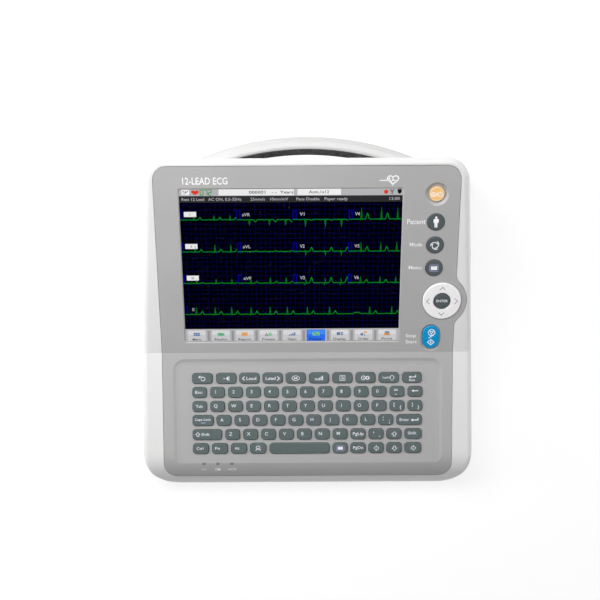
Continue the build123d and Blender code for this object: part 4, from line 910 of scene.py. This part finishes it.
# ----------------------------------------------------------------------------
# print on the grey panel
# ----------------------------------------------------------------------------
p = Ink("panel_print", "root", "ring_white", INK_WHITE, sloped(20, 0.0), -0.02, 0.03)
p.text("Patient", 104.0, 134.3, 4.9, 17.6, bold=0.018)
p.text("Mode", 104.35, 111.6, 3.7, 11.9, bold=0.012)
p.text("Menu", 104.3, 88.4, 3.7, 12.4, bold=0.012)
p.text("Stop", 102.6, 17.5, 3.6, 10.0, bold=0.016)
p.text("Start", 103.2, 11.0, 3.6, 11.2, bold=0.016)
p.text("12-LEAD ECG", -95.6, 174.6, 6.4, 42.4, bold=0.10)
# plain heart pictogram at the right
big = [(x * 1.45, y * 1.7) for x, y in heart]
p.at(80.6, 174.6).line(big, 1.2, closed=True)
p.at(76.8, 174.6).line([(-8.6, -0.2), (-1.0, -0.2), (0.5, 2.2), (2.2, -2.6), (3.6, 1.0), (4.2, -0.2), (6.6, -0.2)], 1.0)
p.done()

# symbols in front of the three lamps, on the rolled front edge
for i, (x, y) in enumerate(((-104.7, -156.6), (-90.8, -156.6), (-76.6, -156.6))):
    m = surface("front_panel", (x, y, 80.0), (0, 0, -1), (0, 1, 0))
    p = Ink("lamp_symbol_%d" % (i + 1), "root", "ring_white", INK_WHITE, m, -0.05, 0.05)
    if i == 0:
        p.line([(-2.6, -0.2), (-1.9, 0.6), (-1.0, 0.6), (0.4, -0.5), (1.4, -0.5), (2.2, 0.3)], 0.5)
    elif i == 1:
        p.line([(-2.6, 1.1), (-2.6, -1.1), (1.9, -1.1), (1.9, 1.1)], 0.4, closed=True).rect(-0.6, -0.9, 1.7, 0.9)
        p.rect(2.1, -0.5, 2.7, 0.5)
    else:
        p.line([(-1.2, 1.1), (-1.2, -1.1), (3.2, -1.1), (3.2, 1.1)], 0.4, closed=True).rect(3.4, -0.5, 4.0, 0.5)
        p.line([(-4.2, 0.0), (-1.4, 0.0)], 0.45).poly([(-3.6, 0.9), (-1.9, 0.0), (-3.6, -0.9)])
    p.done()

# ----------------------------------------------------------------------------
# symbols beside the sockets, and the plate underneath
# ----------------------------------------------------------------------------
def wall_ink(name, node, start, direction, up, material=INK_DARK):
    return Ink(name, "root", "connector_black", material, surface(node, start, direction, up), -0.04, 0.05)


BACK = ((0, -1, 0), (0, 0, 1))
p = wall_ink("mains_symbol", "upper_case", (-112.0, 220.0, 34.0), *BACK)
p.line([(-3.4, 0.0), (-2.6, 1.1), (-1.4, 1.1), (1.4, -1.1), (2.6, -1.1), (3.4, 0.0)], 0.6)
p.done()
p = wall_ink("stud_symbol", "upper_case", (-84.0, 220.0, 34.0), *BACK)
p.arc(0, 0, 2.9, 0.5, n=24).line([(0, 2.0), (0, -0.3)], 0.5).rect(-1.7, -0.7, 1.7, -0.3).rect(-1.0, -1.4, 1.0, -1.0)
p.done()
p = wall_ink("network_symbol", "upper_case", (129.0, 220.0, 34.0), *BACK)
p.rect(-1.1, 1.0, 1.1, 2.6).rect(-3.4, -2.4, -1.2, -0.8).rect(1.2, -2.4, 3.4, -0.8)
p.line([(-2.3, -0.8), (-2.3, 0.2), (2.3, 0.2), (2.3, -0.8)], 0.4).line([(0, 0.2), (0, 1.0)], 0.4)
p.done()
p = wall_ink("usb_symbol", "upper_case", (108.0, 220.0, 34.0), *BACK)
p.line([(-3.6, 0), (3.0, 0)], 0.5).disc(-3.8, 0, 0.8, 12).poly([(2.8, 0.8), (4.3, 0.0), (2.8, -0.8)])
p.line([(-2.2, 0.2), (-0.9, 1.6), (0.8, 1.6)], 0.4).disc(1.1, 1.6, 0.55, 10)
p.line([(-1.2, -0.2), (0.1, -1.6), (1.6, -1.6)], 0.4).rect(1.5, -2.1, 2.5, -1.1)
p.done()
p = wall_ink("patient_socket_symbol", "upper_case", (240.0, 60.0, 34.0), (-1, 0, 0), (0, 0, 1))
p.line([(x * 0.8, y * 0.9) for x, y in heart], 0.5, closed=True)
p.rect(-5.4, -2.4, -4.6, 2.4).rect(4.6, -2.4, 5.4, 2.4)
p.done()

m = surface("lower_case", (-60.0, -60.0, -50.0), (0, 0, 1), (0, 1, 0))
plate = Ink("data_plate", "root", "case_white", LABEL, m, -0.02, 0.12)
plate.rrect(-34.0, -19.0, 34.0, 19.0, 3.0)
plate.done()
plate = Ink("data_plate_print", "root", "connector_black", INK_DARK, m, 0.10, 0.16)
plate.line([(-32.0, -17.0), (32.0, -17.0), (32.0, 17.0), (-32.0, 17.0)], 0.5, closed=True)
for i in range(5):
    plate.rect(-28.0, 9.6 - 5.4 * i, -8.0 + 3.5 * (i % 3), 10.6 - 5.4 * i)
    plate.rect(2.0, 9.6 - 5.4 * i, 22.0 - 3.0 * (i % 2), 10.6 - 5.4 * i)
plate.done()

bpy.data.objects.remove(_font_obj)

# ----------------------------------------------------------------------------
# floor and studio light
# ----------------------------------------------------------------------------
fl = bpy.data.meshes.new("floor")
fl.from_pydata([(-6, -6, 0), (6, -6, 0), (6, 6, 0), (-6, 6, 0)], [], [(0, 1, 2, 3)])
floor = bpy.data.objects.new("floor", fl)
bpy.context.scene.collection.objects.link(floor)
fm, nt, sh = node_material("floor_paper")
sh.inputs["Base Color"].default_value = (0.26, 0.26, 0.26, 1)
sh.inputs["Roughness"].default_value = 1.0
sh.inputs["Specular IOR Level"].default_value = 0.0
sh.inputs["Emission Color"].default_value = (1, 1, 1, 1)
sh.inputs["Emission Strength"].default_value = 0.77
fl.materials.append(fm)


# pale wall all round, so that low views end in studio paper and not in the dark
RING = 72
ring_pts = [(5.9 * math.cos(2 * math.pi * i / RING), 5.9 * math.sin(2 * math.pi * i / RING)) for i in range(RING)]
wl = bpy.data.meshes.new("backdrop")
wl.from_pydata([(x, y, -0.01) for x, y in ring_pts] + [(x, y, 9.0) for x, y in ring_pts], [],
               [(i, (i + 1) % RING, RING + (i + 1) % RING, RING + i) for i in range(RING)])
wall = bpy.data.objects.new("backdrop", wl)
bpy.context.scene.collection.objects.link(wall)
wm, nt, sh = node_material("backdrop_paper")
sh.inputs["Base Color"].default_value = (0.05, 0.05, 0.05, 1)
sh.inputs["Roughness"].default_value = 1.0
sh.inputs["Specular IOR Level"].default_value = 0.0
sh.inputs["Emission Color"].default_value = (1, 1, 1, 1)
sh.inputs["Emission Strength"].default_value = 0.80
wl.materials.append(wm)
wall.visible_diffuse = False
wall.visible_glossy = False
wall.visible_transmission = False


def area(name, loc, target, size, power, colour=(1, 1, 1), size_y=None):
    d = bpy.data.lights.new(name, "AREA")
    d.energy = power
    d.color = colour
    d.shape = "RECTANGLE"
    d.size = size
    d.size_y = size_y or size
    o = bpy.data.objects.new(name, d)
    o.location = loc
    o.rotation_euler = (Vector(target) - Vector(loc)).to_track_quat("-Z", "Y").to_euler()
    bpy.context.scene.collection.objects.link(o)
    return o


area("key_light", (-0.48, 0.52, 0.88), (0, 0.02, 0.05), 0.6, 8.8)
area("top_light", (0.12, 0.60, 1.62), (0, 0, 0.05), 1.2, 13.0)
area("left_fill", (-1.35, 0.05, 0.55), (0, 0, 0.05), 0.7, 6.5)
area("right_fill", (1.35, 0.10, 0.50), (0, 0, 0.05), 0.7, 4.5)
world = bpy.data.worlds.new("studio")
bpy.context.scene.world = world
world.use_nodes = True
bg = world.node_tree.nodes.get("Background") or world.node_tree.nodes.new("ShaderNodeBackground")
bg.inputs["Color"].default_value = (1, 1, 1, 1)
bg.inputs["Strength"].default_value = 0.07
